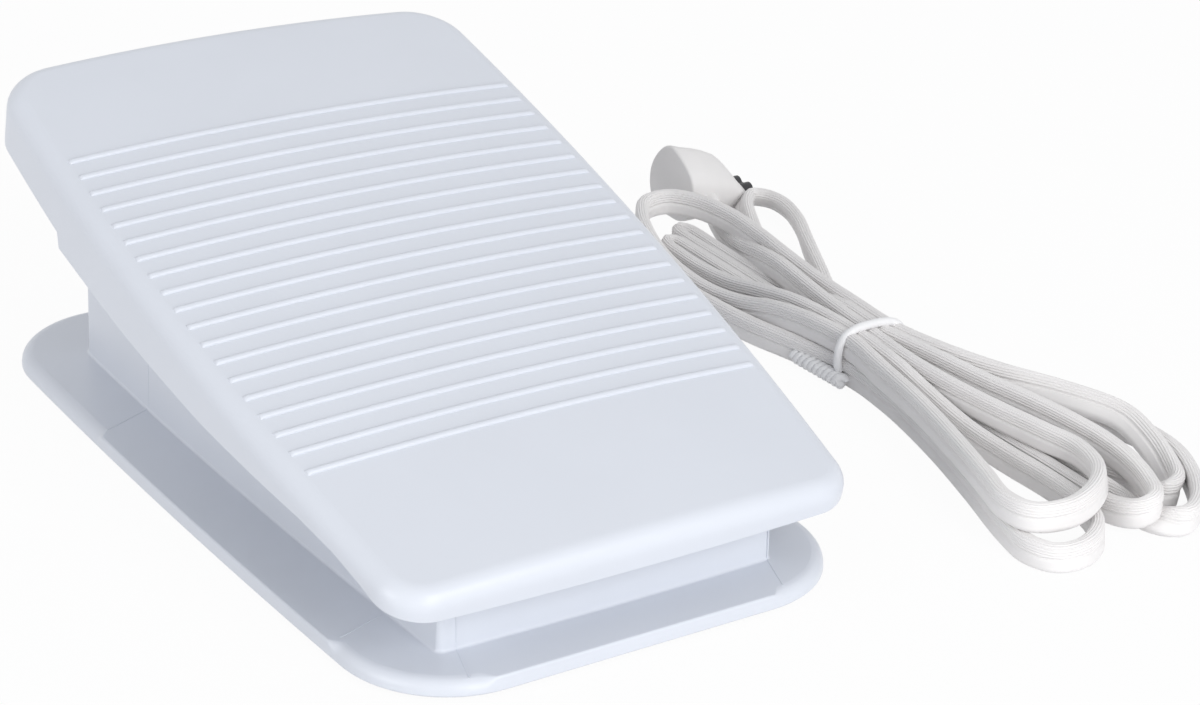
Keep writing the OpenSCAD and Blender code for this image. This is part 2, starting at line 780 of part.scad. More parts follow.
module plunger() {
  slot_half = pin_d / 2 + pin_clear;
  slot_reach = arm_r * (1 - cos(crank_swing)) + 0.4;
  color([0.93, 0.92, 0.88]) difference() {
    union() {
      translate([plunger_x, plunger_y, stem_low]) cylinder(r = stem_d / 2, h = cap_top - stem_low);
      translate([plunger_x, plunger_y, cap_top - cap_t]) cylinder(r = cap_d / 2, h = cap_t);
      block(
        [plunger_x, plunger_y - stem_d / 4, stem_low],
        [tab_x + tab_t, plunger_y + stem_d / 4, stem_low + tab_h]
      );
      block(
        [tab_x, plunger_y - stem_d / 4, stem_low],
        [tab_x + tab_t, crank_pin_y + slot_half + 2, stem_low + tab_h]
      );
    }
    block(
      [tab_x - 1, crank_pin_y - slot_half - slot_reach, crank_pin_z - slot_half],
      [tab_x + tab_t + 1, crank_pin_y + slot_half, crank_pin_z + slot_half]
    );
  }
}
module plunger_spring() {
  coil_d = stem_d + plunger_wire + 1.2;
  color(steel) translate([plunger_x, plunger_y, 0])
    coil(coil_d, plunger_wire, plunger_turns, pocket_floor + seat, cap_top - cap_t - seat);
}
module crank_arm() {
  color([0.85, 0.84, 0.8]) {
    translate([0, crank_y, crank_z]) {
      along_x(arm_x, arm_x + arm_t, shaft_r + 2);
      along_x(arm_x + weld, pot_x + pot_l - 2, shaft_r);
    }
    translate([0, crank_pin_y, crank_pin_z]) {
      along_x(arm_x, arm_x + arm_t, pin_d / 2 + 1.2);
      along_x(tab_x + 0.3, arm_x + weld, pin_d / 2);
    }
    translate([arm_x, crank_pin_y, crank_pin_z]) rotate([-crank_swing, 0, 0])
      block([0, 0, -pin_d / 2 - 0.6], [arm_t, arm_r, pin_d / 2 + 0.6]);
  }
}
module potentiometer() {
  color([0.25, 0.27, 0.3]) translate([0, crank_y, crank_z]) difference() {
    union() {
      along_x(pot_x, pot_x + pot_l, pot_d / 2);
      along_x(nut_x - 0.6, pot_x + weld, bush_d / 2);
      block([pot_x + 1, -pot_d / 3, -pot_d / 2 - 1], [pot_x + 3, pot_d / 3, 0]);
    }
    along_x(nut_x - 1, pot_x + pot_l - 2 + shaft_room, shaft_r + shaft_room);
  }
}
module pot_nut() {
  color(steel) translate([0, crank_y, crank_z]) difference() {
    translate([nut_x, 0, 0]) rotate([0, 90, 0]) cylinder(r = bush_d / 2 + 2.2, h = nut_t - seat, $fn = 6);
    along_x(nut_x - 1, bracket_x + 1, bush_d / 2 + screw_clear);
  }
}
module pot_bracket() {
  color(steel) difference() {
    union() {
      block(
        [bracket_x, crank_y - bracket_half, plate_z],
        [pot_x - seat, crank_y + bracket_half, crank_z + bush_d / 2 + 3]
      );
      block(
        [bracket_x, crank_y - bracket_half, plate_z],
        [pot_x + bracket_foot, crank_y + bracket_half, plate_z + bracket_t]
      );
    }
    translate([0, crank_y, crank_z]) along_x(bracket_x - 1, pot_x + 1, bush_d / 2 + screw_clear);
    for (s = bracket_spots) hole(s, plate_z - 1, plate_z + bracket_t + 1, hole_r);
  }
}
module bracket_screws() {
  short = plate_t + bracket_t - 0.7;
  color(steel) for (s = bracket_spots) screw(s, plate_z + bracket_t + head_h, short, false);
}

module circuit_board() {
  color(board_green) difference() {
    block(
      [board_x - board_w / 2, board_y - board_l / 2, board_z],
      [board_x + board_w / 2, board_y + board_l / 2, board_top]
    );
    for (s = board_spots) hole(s, board_z - 1, board_top + 1, hole_r);
  }
}
module board_screws() {
  short = board_t + shank_l - 3;
  color(steel) for (s = board_spots) screw(s, board_top + head_h, short, false);
}

// Power parts stand at the toe end of the board, under the high end of the deck
sink_x = board_x - board_w / 2 + 9;
sink_shift = 18;
sink_y = board_y + sink_shift;
sink_l = 24;
sink_h = 15;
sink_t = 2;
fin_count = 5;
fin_t = 1.2;
fin_reach = 6;
fin_pitch = (sink_l - fin_t) / (fin_count - 1);
triac_w = 10;
triac_t = 4.4;
triac_h = 9;
tab_plate_t = 1.3;
tab_plate_h = 14;
bolt_z = board_top + tab_plate_h - 2.6;
bolt_y = sink_y + sink_l / 8;
bolt_r = 1.4;
bolt_head_r = 2.4;
bolt_head_t = 1.6;
lead_r = 0.45;
lead_pitch = 2.5;
module heat_sink() {
  color([0.7, 0.71, 0.72]) difference() {
    union() {
      block(
        [sink_x - sink_t, sink_y - sink_l / 2, board_top],
        [sink_x, sink_y + sink_l / 2, board_top + sink_h]
      );
      for (k = [0:fin_count - 1])
        translate([sink_x - sink_t, sink_y - sink_l / 2 + k * fin_pitch, board_top])
          block([-fin_reach, 0, 0], [weld, fin_t, sink_h]);
    }
    translate([0, bolt_y, bolt_z]) along_x(sink_x - sink_t - 1, sink_x + 1, bolt_r + screw_clear);
  }
}
module triac() {
  low = bolt_y - triac_w / 2;
  high = bolt_y + triac_w / 2;
  color([0.12, 0.12, 0.13]) difference() {
    union() {
      block([sink_x, low, board_top + 1], [sink_x + triac_t, high, board_top + triac_h]);
      block([sink_x, low, board_top + triac_h - weld], [sink_x + tab_plate_t, high, board_top + tab_plate_h]);
      for (k = [-1:1])
        translate([sink_x + triac_t / 2, bolt_y + k * lead_pitch, board_top]) cylinder(r = lead_r, h = 2);
    }
    translate([0, bolt_y, bolt_z]) along_x(sink_x - 1, sink_x + triac_t + 1, bolt_r + screw_clear);
  }
}
module sink_bolt() {
  color(steel) translate([0, bolt_y, bolt_z]) {
    along_x(sink_x - sink_t - bolt_head_t, sink_x + tab_plate_t + weld, bolt_r);
    along_x(sink_x + tab_plate_t, sink_x + tab_plate_t + bolt_head_t, bolt_head_r);
  }
}
cap_size = [8, 17, 11];
cap_shift = -6;
module film_capacitor() {
  color([0.75, 0.2, 0.16])
    translate([board_x + cap_shift, board_y - board_l / 2 + board_edge, board_top]) cube(cap_size);
}
choke_r = 6;
choke_ring = 2.8;
choke_at = [4.5, -12];
module choke() {
  color([0.6, 0.36, 0.16]) translate([board_x + choke_at.x, board_y + choke_at.y, board_top + choke_ring])
    rotate_extrude() translate([choke_r, 0]) circle(r = choke_ring);
}
resistor_r = 1.4;
resistor_l = 7;
resistor_at = [6.5, 5];
resistor_y = board_y + resistor_at.y;
resistor_pitch = 4.4;
diode_at = [3, -24];
diode_l = 4;
diode_r = 1;
module resistors() {
  color([0.82, 0.7, 0.5])
    for (k = [0:2])
      translate([board_x + resistor_at.x, resistor_y + k * resistor_pitch, board_top + resistor_r])
        along_x(-resistor_l / 2, resistor_l / 2, resistor_r);
}
module trigger_diode() {
  color([0.75, 0.35, 0.2]) translate([board_x + diode_at.x, board_y + diode_at.y, board_top + diode_r])
    along_x(0, diode_l, diode_r);
}
term_w = 11;
term_l = 8;
term_h = 9;
term_sink = 1.5;
pole_x = 2.6;
term_x = board_x + 6;
term_y = board_y + board_l / 2 - 10.5;
module terminal_block() {
  color([0.16, 0.4, 0.3]) difference() {
    block(
      [term_x - term_w / 2, term_y - term_l / 2, board_top],
      [term_x + term_w / 2, term_y + term_l / 2, board_top + term_h]
    );
    for (s = [-1, 1]) {
      translate([term_x + s * pole_x, term_y - 1, board_top + term_h - term_sink]) cylinder(r = 1.7, h = 3);
      translate([term_x + s * pole_x, term_y + term_l, wire_z]) rotate([90, 0, 0])
        cylinder(r = wire_r + 0.3, h = term_l - 1);
    }
  }
}

// Lead inside the box: two wires from the clamp to the terminals
wire_r = 1;
wire_z = board_top + 4;
wire_end = term_y + term_l / 2 - 2.5;
clamp_bends = [[0, 6, 0], [1.5, 11, 0], [4.5, 15.5, -0.5]];
end_bends = [[3.5, 9, 0], [0.6, 5, 0], [0, 2, 0]];
clamp_low = cord_z - cord_t / 2;
module inner_wires() {
  color([0.9, 0.88, 0.82])
    for (s = [-1, 1]) {
      from = [s * 1.6, clamp_y + boss_r, cord_z];
      to = [term_x + s * pole_x, wire_end, wire_z];
      tube(
        concat([from], [for (b = clamp_bends) from - b], [for (b = end_bends) to + b], [to]),
        wire_r, wire_r, 8
      );
    }
}
clamp_t = 3;
clamp_end = 3;
module cord_clamp() {
  low = cord_z + wire_r + 0.1;
  color(ivory) difference() {
    union() {
      block(
        [-clamp_reach - clamp_end, clamp_y - boss_r + weld, low],
        [clamp_reach + clamp_end, clamp_y + boss_r - weld, low + clamp_t]
      );
      for (s = clamp_spots) hole(s, clamp_low, low + 1, boss_r - 0.6);
    }
    for (s = clamp_spots) hole(s, clamp_low - 1, low + clamp_t + 1, hole_r);
  }
}
module clamp_screws() {
  top = cord_z + wire_r + 0.1 + clamp_t;
  color(steel) for (s = clamp_spots) screw(s, top + head_h, top - clamp_low + shank_l - 3, false);
}

// Strain relief: a grooved bush in the toe wall and a ringed, tapering sleeve
relief_neck = 5;
relief_flange = 6.6;
relief_tip = cord_w / 2 + 0.8;
relief_start = toe_y(box_plan) + end_bow;
ring_count = 5;
ring_depth = 0.7;
relief_collar = 2;
relief_root = relief_neck + 0.6;
module strain_relief() {
  back = -end_bow - wall - 0.5;
  neck = relief_neck - seat;
  rings = [
    for (k = [0:ring_count - 1])
      let (
        z = relief_collar + 1 + k * (relief_l - 5) / ring_count,
        r = relief_root + (relief_tip - relief_root) * z / relief_l
      )
      each [[r, z], [r, z + 2], [r - ring_depth, z + 2.2], [r - ring_depth, z + 3]]
  ];
  color(ivory) translate([0, relief_start, cord_z]) rotate([-90, 0, 0])
    rotate_extrude()
      polygon(concat(
        [[0, back - relief_collar], [relief_flange, back - relief_collar], [relief_flange, back - seat]],
        [[neck, back - seat], [neck, 0.1], [relief_flange, 0.1], [relief_flange, relief_collar]],
        rings,
        [[relief_tip, relief_l - 1], [relief_tip, relief_l], [0, relief_l]]
      ));
}

// The lead runs behind the toe, on edge, and round to the tied hank on the right
lead_exit = relief_start + relief_l;
edge_z = cord_w / 2 + 0.1;
lead_path = [
  [0, lead_exit, cord_z], [0, 104, 12.8], [2, 112, 11], [7, 120, 8], [16, 126, 5], [28, 129, 3.6],
  [41, 129, edge_z], [53, 127, edge_z], [65, 123, edge_z], [76, 117, edge_z], [86, 109, edge_z],
  [94, 99, edge_z], [98, 88, edge_z], [100, 76, edge_z], [101, 68, edge_z]
];
module mains_lead() {
  color(ivory) tube(lead_path, cord_t / 2, cord_w / 2, 8);
}
hank_z = 0.3;
near_end = [113, -81];
near_r = 28.5;
waist = [112, -16];
waist_r = 8.5;
far_end = [112.5, 58];
far_r = 20;
module spot(p, r) {
  translate(p) circle(r = r);
}
module cord_hank() {
  color(ivory) translate([0, 0, hank_z]) linear_extrude(hank_h) {
    hull() {
      spot(near_end, near_r);
      spot(waist, waist_r);
    }
    hull() {
      spot(waist, waist_r);
      spot(far_end, far_r);
    }
  }
}
// One turn of the hank stands clear of the rest on the right
turn_path = [
  [118, 0, edge_z], [122, 9, edge_z], [127, 20, edge_z], [133, 32, edge_z], [140, 46, edge_z],
  [147, 60, edge_z], [150, 70, edge_z], [149.5, 77, edge_z], [146, 80, edge_z], [141.5, 76, edge_z],
  [136, 66, edge_z], [130, 53, edge_z], [126, 40, edge_z]
];
module loose_turn() {
  color(ivory) tube(turn_path, cord_t / 2, cord_w / 2, 8);
}
plug_at = [135.9, 86.4, 0.2];
tail_path = [[120, 48, 5], [122, 56, 4.6], [124.5, 64, 4.4], [128, 71, 4.4], [131, 76, 4.8], [131.5, 80, 5]];
module plug_lead() {
  color(ivory) tube(tail_path, cord_t / 2, cord_w / 2, 8);
}
module in_plug() {
  translate(plug_at) children();
}
// The plug has a flat oval side, a rounded side with a dark tip, and the lead comes in at its front
back_r = plug_h / 2;
shoulder_x = 2;
shoulder_r = 7.5;
nose_r = 3.6;
nose_t = 1.5;
nose_flat = 1.8;
tip_r = 2;
tip_y = 0.8;
tip_in = 6;
tip_out = 2.6;
pin_gap = 5;
contact_r = 1.2;
contact_l = 7;
contact_wall = 0.4;
module plug_oval(x0, x1, r, flat) {
  translate([0, 0, r]) scale([1, flat, 1]) along_x(x0, x1, r, $fn = 32);
}
module tip_solid(clear) {
  face = plug_w / 2;
  for (s = [-1, 1])
    translate([0, tip_y + s * pin_gap / 2, nose_r])
      along_x(face - tip_in - clear, face + tip_out, tip_r + clear);
  block(
    [face - tip_in - clear, tip_y - pin_gap / 2, nose_r - tip_r / 2 - clear],
    [face + tip_out, tip_y + pin_gap / 2, nose_r + tip_r / 2 + clear]
  );
}
module contact_bores() {
  for (s = [-1, 1])
    translate([plug_w / 2 + tip_out - contact_l, tip_y + s * pin_gap / 2, nose_r]) children();
}
module plug_shell() {
  color(ivory) in_plug() difference() {
    hull() {
      plug_oval(-plug_w / 2, nose_t - plug_w / 2, back_r, plug_l / plug_h);
      plug_oval(shoulder_x, shoulder_x + nose_t, shoulder_r, plug_l / plug_h);
      plug_oval(plug_w / 2 - nose_t, plug_w / 2, nose_r, nose_flat);
    }
    tip_solid(seat);
  }
}
module plug_tip() {
  color([0.1, 0.1, 0.11]) in_plug() difference() {
    tip_solid(0);
    contact_bores() along_x(0, contact_l + 1, contact_r);
  }
}
module plug_contacts() {
  color([0.8, 0.65, 0.3]) in_plug() contact_bores() difference() {
    along_x(seat, contact_l - 1, contact_r - seat);
    along_x(1, contact_l + 1, contact_r - contact_wall);
  }
}
tie_steps = 24;
tie_r = 1;
tail_steps = 6;
tail_step = [-0.2, 3, 0];
module twist_tie() {
  wide = waist_r + tie_r;
  high = (hank_h + hank_z) / 2;
  foot = [waist.x - wide - tie_r, waist.y - 2, 2 * tie_r];
  color([0.95, 0.95, 0.95]) {
    tube(
      [
        for (k = [0:tie_steps])
          let (a = 350 * k / tie_steps + 185)
          [waist.x + wide * cos(a), waist.y, tie_r + high + high * sin(a)]
      ],
      tie_r, tie_r, 6, [0, 1, 0]
    );
    tube([for (k = [0:tail_steps]) foot + k * tail_step], 1.6 * tie_r, 1.6 * tie_r, 6);
  }
}

base_housing();
bottom_plate();
plate_screws();
rubber_feet();
hinge_rod();
lid();
return_spring();
plunger();
plunger_spring();
crank_arm();
potentiometer();
pot_nut();
pot_bracket();
bracket_screws();
circuit_board();
board_screws();
triac();
heat_sink();
sink_bolt();
film_capacitor();
choke();
resistors();
trigger_diode();
terminal_block();
inner_wires();
cord_clamp();
clamp_screws();
strain_relief();
mains_lead();
cord_hank();
loose_turn();
plug_lead();
plug_shell();
plug_tip();
plug_contacts();
twist_tie();
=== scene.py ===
"""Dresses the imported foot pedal: housing, tread, springs, cord, plug and tie, finishes, light and camera."""

import json
import math

import bmesh
import bpy
import numpy as np
from mathutils import Matrix, Vector


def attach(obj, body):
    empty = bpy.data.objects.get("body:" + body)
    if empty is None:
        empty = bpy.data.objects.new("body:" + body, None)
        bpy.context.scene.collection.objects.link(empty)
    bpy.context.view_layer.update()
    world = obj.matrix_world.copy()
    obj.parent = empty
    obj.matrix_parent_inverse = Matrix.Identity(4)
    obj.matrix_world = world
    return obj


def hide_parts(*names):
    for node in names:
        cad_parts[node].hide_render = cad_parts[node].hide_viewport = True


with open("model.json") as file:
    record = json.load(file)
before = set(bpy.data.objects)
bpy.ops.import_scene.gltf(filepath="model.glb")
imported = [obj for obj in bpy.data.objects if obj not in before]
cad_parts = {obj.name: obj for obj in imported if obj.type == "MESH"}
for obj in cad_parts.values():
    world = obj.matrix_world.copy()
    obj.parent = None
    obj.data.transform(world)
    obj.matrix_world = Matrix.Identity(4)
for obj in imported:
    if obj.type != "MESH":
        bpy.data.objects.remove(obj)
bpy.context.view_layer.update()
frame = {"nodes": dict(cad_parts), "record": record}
NODES = frame["nodes"]
MM = 0.001


# Shapes in millimetres
class Shape:
    """Points and faces of one piece, gathered from closed parts."""

    def __init__(self):
        self.points = []
        self.faces = []

    def add(self, points, faces):
        first = len(self.points)
        self.points += [tuple(float(c) for c in p) for p in points]
        self.faces += [tuple(first + i for i in f) for f in faces]

    def loft(self, rings):
        """Stacked rings of equal length, closed at both ends."""
        n = len(rings[0])
        last = (len(rings) - 1) * n
        faces = [tuple(range(n - 1, -1, -1)), tuple(range(last, last + n))]
        for k in range(len(rings) - 1):
            faces += strip(k * n, (k + 1) * n, n)
        self.add([p for ring in rings for p in ring], faces)

    def block(self, low, high, place=None):
        corners = [(x, y, z) for z in (low[2], high[2]) for x, y in (
            (low[0], low[1]), (high[0], low[1]), (high[0], high[1]), (low[0], high[1]))]
        if place:
            corners = [place(p) for p in corners]
        self.loft([corners[:4], corners[4:]])

    def lathe(self, profile, centre, steps=48):
        """Closed profile of (radius, height) turned about a vertical line."""
        points = [(centre[0] + r * c, centre[1] + r * s, z) for c, s in circle(1, steps) for r, z in profile]
        n = len(profile)
        faces = []
        for k in range(steps):
            faces += strip(k * n, (k + 1) % steps * n, n)
        self.add(points, faces)

    def rod(self, x0, x1, centre, r, place, steps=32):
        """Round bar along x."""
        section = circle(r, steps)
        self.loft([[place((x, centre[0] + a, centre[1] + b)) for a, b in section] for x in (x0, x1)])

    def mesh(self, name):
        made = bpy.data.meshes.new(name)
        made.from_pydata([tuple(c * MM for c in p) for p in self.points], [], self.faces)
        made.update()
        work = bmesh.new()
        work.from_mesh(made)
        bmesh.ops.recalc_face_normals(work, faces=work.faces)
        work.to_mesh(made)
        work.free()
        return made


def strip(a, b, n):
    """Faces between two rings of n points that start at a and b."""
    return [(a + i, a + (i + 1) % n, b + (i + 1) % n, b + i) for i in range(n)]


def circle(r, steps):
    angles = [2 * math.pi * k / steps for k in range(steps)]
    return [(r * math.cos(a), r * math.sin(a)) for a in angles]


def quarter_turn(steps):
    return [math.pi / 2 * k / steps for k in range(steps + 1)]


def new_object(name, mesh):
    made = bpy.data.objects.new(name, mesh)
    bpy.context.scene.collection.objects.link(made)
    return made


def smooth(obj, degrees):
    obj.data.polygons.foreach_set("use_smooth", [True] * len(obj.data.polygons))
    obj.data.set_sharp_from_angle(angle=math.radians(degrees))


# Sizes from the part's source, apart from the box's taper, bulge and heel corner, which follow the photo
BASE_L, BASE_W, BASE_TAPER, BASE_BULGE, BASE_R, BASE_T = 186.0, 111.0, 1.7, 2.0, 23.0, 3.4
EDGE_SOFT, EDGE_CRISP = 2.6, 0.5
BOX_L, BOX_IN, BOX_W, BOX_TAPER, BOX_BULGE = 154.0, 12.5, 82.2, 1.8, 1.7
BOX_R, BOX_HEEL_R, BOX_DRAFT = 4.0, 1.5, 0.6
WALL, DECK_T, DECK_GAP = 2.5, 2.5, 4.0
LID_L, LID_W, LID_TAPER, LID_BULGE = 182.0, 114.4, 2.1, 4.2
LID_R, LID_HEEL_R, LID_EDGE, LID_T = 13.0, 9.5, 4.0, 2.6
CROWN, TILT, HEEL_OVER, LID_RISE = 2.1, math.radians(14.8), 14.7, 14.3
PRESS = math.radians(8)
FLOOR_Z = 1.0
FLANGE_Z = FLOOR_Z + BASE_T
BOX_HEEL = BOX_IN - BASE_L / 2
BOX_TOE = BOX_HEEL + BOX_L
HINGE_IN, HINGE_Z = 6.5, 14.0
HINGE_Y = BOX_HEEL + HINGE_IN
END_BOW = 0.6
DECK_SLOPE = math.tan(TILT - PRESS)
LID_UNDER = LID_RISE - LID_T


class Plan:
    """Outline of a plan form: tapering, slightly bulging sides and round corners."""

    def __init__(self, length, width, taper, bulge, corner, middle, bow, heel_corner=None):
        self.length, self.width, self.taper, self.bulge = length, width, taper, bulge
        self.corner, self.middle, self.bow = corner, middle, bow
        self.heel_corner = heel_corner or corner
        self.heel = middle - length / 2
        self.toe = middle + length / 2

    def side(self, y):
        u = (y - self.middle) / (self.length / 2)
        return self.width / 2 + self.taper * u - self.bulge * u * u

    def outline(self, rows, shares, corner_steps):
        """Points and outward normals, anticlockwise from the heel on the right."""
        half = []
        ends = (
            (self.heel + self.heel_corner, -math.pi / 2, self.heel_corner),
            (self.toe - self.corner, 0, self.corner),
        )
        for y, start, r in ends:
            cx = self.side(y) - r
            turn = [(cx + r * math.cos(start + a), y + r * math.sin(start + a),
                     math.cos(start + a), math.sin(start + a)) for a in quarter_turn(corner_steps)]
            if start == 0:
                half += [(self.side(v), v, 1.0, 0.0) for v in rows]
            half += turn
        toe = [(c * half[-1][0], self.toe + self.bow * (1 - c * c), 0.0, 1.0) for c in reversed(shares)]
        heel = [(c * half[0][0], self.heel - self.bow * (1 - c * c), 0.0, -1.0) for c in shares]
        left = [(-x, y, -nx, ny) for x, y, nx, ny in reversed(half)]
        self.last = len(half) - 1
        self.columns = len(shares) + 1
        return np.array(half + toe + left + heel)

    def index(self, i, j):
        """Outline index of row i at the left (j = 0), right (j = columns) or an end row."""
        if j == self.columns:
            return i
        if j == 0:
            return 2 * self.last + self.columns - i
        return 2 * self.last + self.columns + j if i == 0 else self.last + self.columns - j


def inset(points, d, z):
    """An outline moved in by d, at height z."""
    moved = points[:, :2] - np.reshape(d, (-1, 1)) * points[:, 2:]
    return np.column_stack([moved, np.broadcast_to(z, len(points))])


def sheet(plan, cell):
    """Faces of a surface from the left edge to the right edge, row by row."""
    return [(cell(i, j), cell(i + 1, j), cell(i + 1, j + 1), cell(i, j + 1))
            for i in range(plan.last) for j in range(plan.columns)]


def cap(plan, first):
    """Faces that close an outline straight across."""
    faces = [tuple(first + plan.index(0, j) for j in range(plan.columns + 1)) + (
        first + plan.index(1, plan.columns), first + plan.index(1, 0))]
    end = plan.last
    faces.append(tuple(first + plan.index(end, j) for j in range(plan.columns + 1)) + (
        first + plan.index(end - 1, plan.columns), first + plan.index(end - 1, 0)))
    for i in range(1, end - 1):
        faces.append(tuple(first + plan.index(a, b) for a, b in (
            (i, 0), (i + 1, 0), (i + 1, plan.columns), (i, plan.columns))))
    return faces


def stacked(plan, rings):
    """A closed form from rings in an outline's order, the lowest first."""
    n = len(rings[0])
    faces = []
    for k in range(len(rings) - 1):
        faces += strip(k * n, (k + 1) * n, n)
    faces += cap(plan, 0) + cap(plan, (len(rings) - 1) * n)
    shape = Shape()
    shape.add([p for ring in rings for p in ring], faces)
    return shape


def deck_z(y):
    """Height of the box's sloping top."""
    return HINGE_Z + (LID_UNDER - DECK_GAP) / math.cos(TILT - PRESS) + DECK_SLOPE * (y - HINGE_Y)


def from_lid(p):
    """A point of the tread's frame (x, along, above) in the base frame."""
    x, v, w = p
    return (x, HINGE_Y + v * math.cos(TILT) - w * math.sin(TILT),
            HINGE_Z + v * math.sin(TILT) + w * math.cos(TILT))


# Tread plate
RIB_COUNT, RIB_PITCH, RIB_START, RIB_W, RIB_H, RIB_END = 19, 5.86, 24.9, 1.5, 0.6, 1.0
RIB_STEPS = (-1, -0.94, -0.76, -0.42, 0, 0.42, 0.76, 0.94, 1)
lid_plan = Plan(LID_L - 2 * END_BOW, LID_W, LID_TAPER, LID_BULGE, LID_R, LID_L / 2 - HEEL_OVER, END_BOW,
                LID_HEEL_R)
# The skirt's depth along the side, with its step, and how much deeper it is in the middle of the heel
STEP_V = (123.25, 124.75)
SKIRT_V = (lid_plan.heel, -9.0, 0.0, 8.0, 19.0, 37.0, 56.0, 78.0, 91.5, 111.0, *STEP_V, lid_plan.toe)
SKIRT_DEPTH = (6.1, 5.8, 4.9, 4.6, 5.5, 8.3, 11.0, 13.0, 14.1, 15.2, 16.1, 13.0, 12.7)
HEEL_DEEPER, HEEL_HALF, SKIRT_LIP = 1.6, 46.0, 0.3
EDGE_STEPS = (0, 0.12, 0.3, 0.55, 0.8, RIB_END, 1.6, 2.6)


def tread_w(x):
    """Height of the crowned tread above the hinge, in the tread's frame."""
    return LID_RISE - CROWN * (x / (LID_W / 2)) ** 2


def lid_shape():
    """The tread plate with its ribs, rounded edge and skirt."""
    shape = Shape()
    ribs = [RIB_START + k * RIB_PITCH for k in range(RIB_COUNT)]
    first, final = lid_plan.heel + LID_HEEL_R, lid_plan.toe - LID_R
    rows = list(np.linspace(first, ribs[0] - RIB_W / 2, 8)[1:-1])
    for v in ribs:
        rows += [v + t * RIB_W / 2 for t in RIB_STEPS] + [v + RIB_PITCH / 2]
    rows = rows[:-1]
    close = 0.01
    step = [v + d for v in STEP_V for d in (-close, close)]
    rows = sorted(rows + step + list(np.linspace(rows[-1], final, 8)[1:-1]))
    middle = np.linspace(0, 1, 14)[1:]
    inner_half = lid_plan.side(lid_plan.middle) - LID_EDGE

    def across(half):
        near = half - np.array(EDGE_STEPS)
        right = np.concatenate([near[-1] * middle[:-1], near[::-1]])
        return np.concatenate([-right[::-1], [0], right])

    shares = across(inner_half) / inner_half
    points = lid_plan.outline(rows, shares[1:-1], 14)
    n = len(points)
    depth = np.interp(points[:, 1], SKIRT_V, SKIRT_DEPTH)
    front = np.clip((lid_plan.heel + LID_HEEL_R - points[:, 1]) / LID_HEEL_R, 0, 1)
    depth += front * HEEL_DEEPER * (1 - (points[:, 0] / HEEL_HALF) ** 2)

    def ring(d, drop):
        flat = inset(points, d, 0)
        flat[:, 2] = tread_w(flat[:, 0]) - drop
        return flat

    def field(edge, drop, ribbed):
        made = []
        for i in range(1, lid_plan.last):
            half, v = edge[i, 0], edge[i, 1]
            lift = 0.0
            if ribbed:
                t = min(abs(v - r) for r in ribs) / (RIB_W / 2)
                lift = RIB_H * math.sqrt(max(0.0, 1 - t * t))
            xs = across(half)[1:-1]
            end = np.clip((half - np.abs(xs)) / RIB_END, 0, 1)
            w = tread_w(xs) - drop + lift * np.sqrt(1 - (1 - end) ** 2)
            made += [(x, v, h) for x, h in zip(xs, w)]
        return made

    rings = [ring(LID_T, LID_T), ring(LID_T, depth), ring(SKIRT_LIP, depth), ring(0, depth - SKIRT_LIP)]
    rings += [ring(LID_EDGE * (1 - math.cos(a)), LID_EDGE * (1 - math.sin(a))) for a in quarter_turn(8)]
    faces = []
    for k in range(len(rings) - 1):
        faces += strip(k * n, (k + 1) * n, n)
    top0 = (len(rings) - 1) * n
    top = field(rings[-1], 0, True)
    under = field(rings[0], LID_T, False)
    field0 = len(rings) * n
    for ring0, start in ((top0, field0), (0, field0 + len(top))):
        def cell(i, j, ring0=ring0, start=start):
            if j in (0, lid_plan.columns) or i in (0, lid_plan.last):
                return ring0 + lid_plan.index(i, j)
            return start + (i - 1) * (lid_plan.columns - 1) + j - 1
        faces += sheet(lid_plan, cell)
    everything = [p for r in rings for p in r] + top + under
    shape.add([from_lid(p) for p in everything], faces)
    return shape


# Workings under the tread, at the places the part's source gives them
LUG_X, LUG_W, LUG_R, LUG_NECK, LUG_GAP = 24.0, 6.0, 3.4, 8.0, 0.5
HOOK_X, HOOK_IN, HOOK_W, HOOK_T, HOOK_ROOM, HOOK_JOIN = 23.0, 17.5, 7.0, 3.0, 1.4, 0.2
NOSE, NOSE_H, STOP_GAP = 5.0, 3.0, 0.35
HOOK_V = (BOX_TOE - HOOK_IN - HINGE_Y) / math.cos(TILT)
NOSE_TOP = (
    deck_z(HINGE_Y) - DECK_T - HINGE_Z - STOP_GAP
    + (HOOK_V - HOOK_ROOM) * (DECK_SLOPE * math.cos(TILT) - math.sin(TILT))
) / (math.cos(TILT) + DECK_SLOPE * math.sin(TILT))
SPRING_IN, WELL_R, WELL_DEPTH = 21.5, 9.5, 12.0
SPRING_Y = BOX_TOE - SPRING_IN
PLUNGER_X, PLUNGER_SHARE, PLUNGER_CAP = 6.0, 0.652, 13.0
PLUNGER_Y = BOX_HEEL + PLUNGER_SHARE * BOX_L
POCKET_R, POCKET_DEPTH = 7.2, 3.0
# Round hollows in the deck, for the return spring and the plunger: centre, radius, floor
CUPS = (
    ((0, SPRING_Y), WELL_R, deck_z(SPRING_Y) - WELL_DEPTH),
    ((PLUNGER_X, PLUNGER_Y), POCKET_R, deck_z(PLUNGER_Y) - POCKET_DEPTH),
)
PAD_R = 1.6
PAD_V = (PLUNGER_Y - HINGE_Y + LID_UNDER * math.sin(TILT)) / math.cos(TILT)
POST_R, POST_L, POST_LEAN = 3.25, 5.0, TILT - PRESS / 2
POST_V = (SPRING_Y - HINGE_Y + (LID_UNDER - POST_L) * math.sin(POST_LEAN)) / math.cos(POST_LEAN)
RAIL_IN, RAIL_T, RAIL_H, RAIL_END = 11.0, 1.6, 5.0, 13.5
ROOT = 0.4


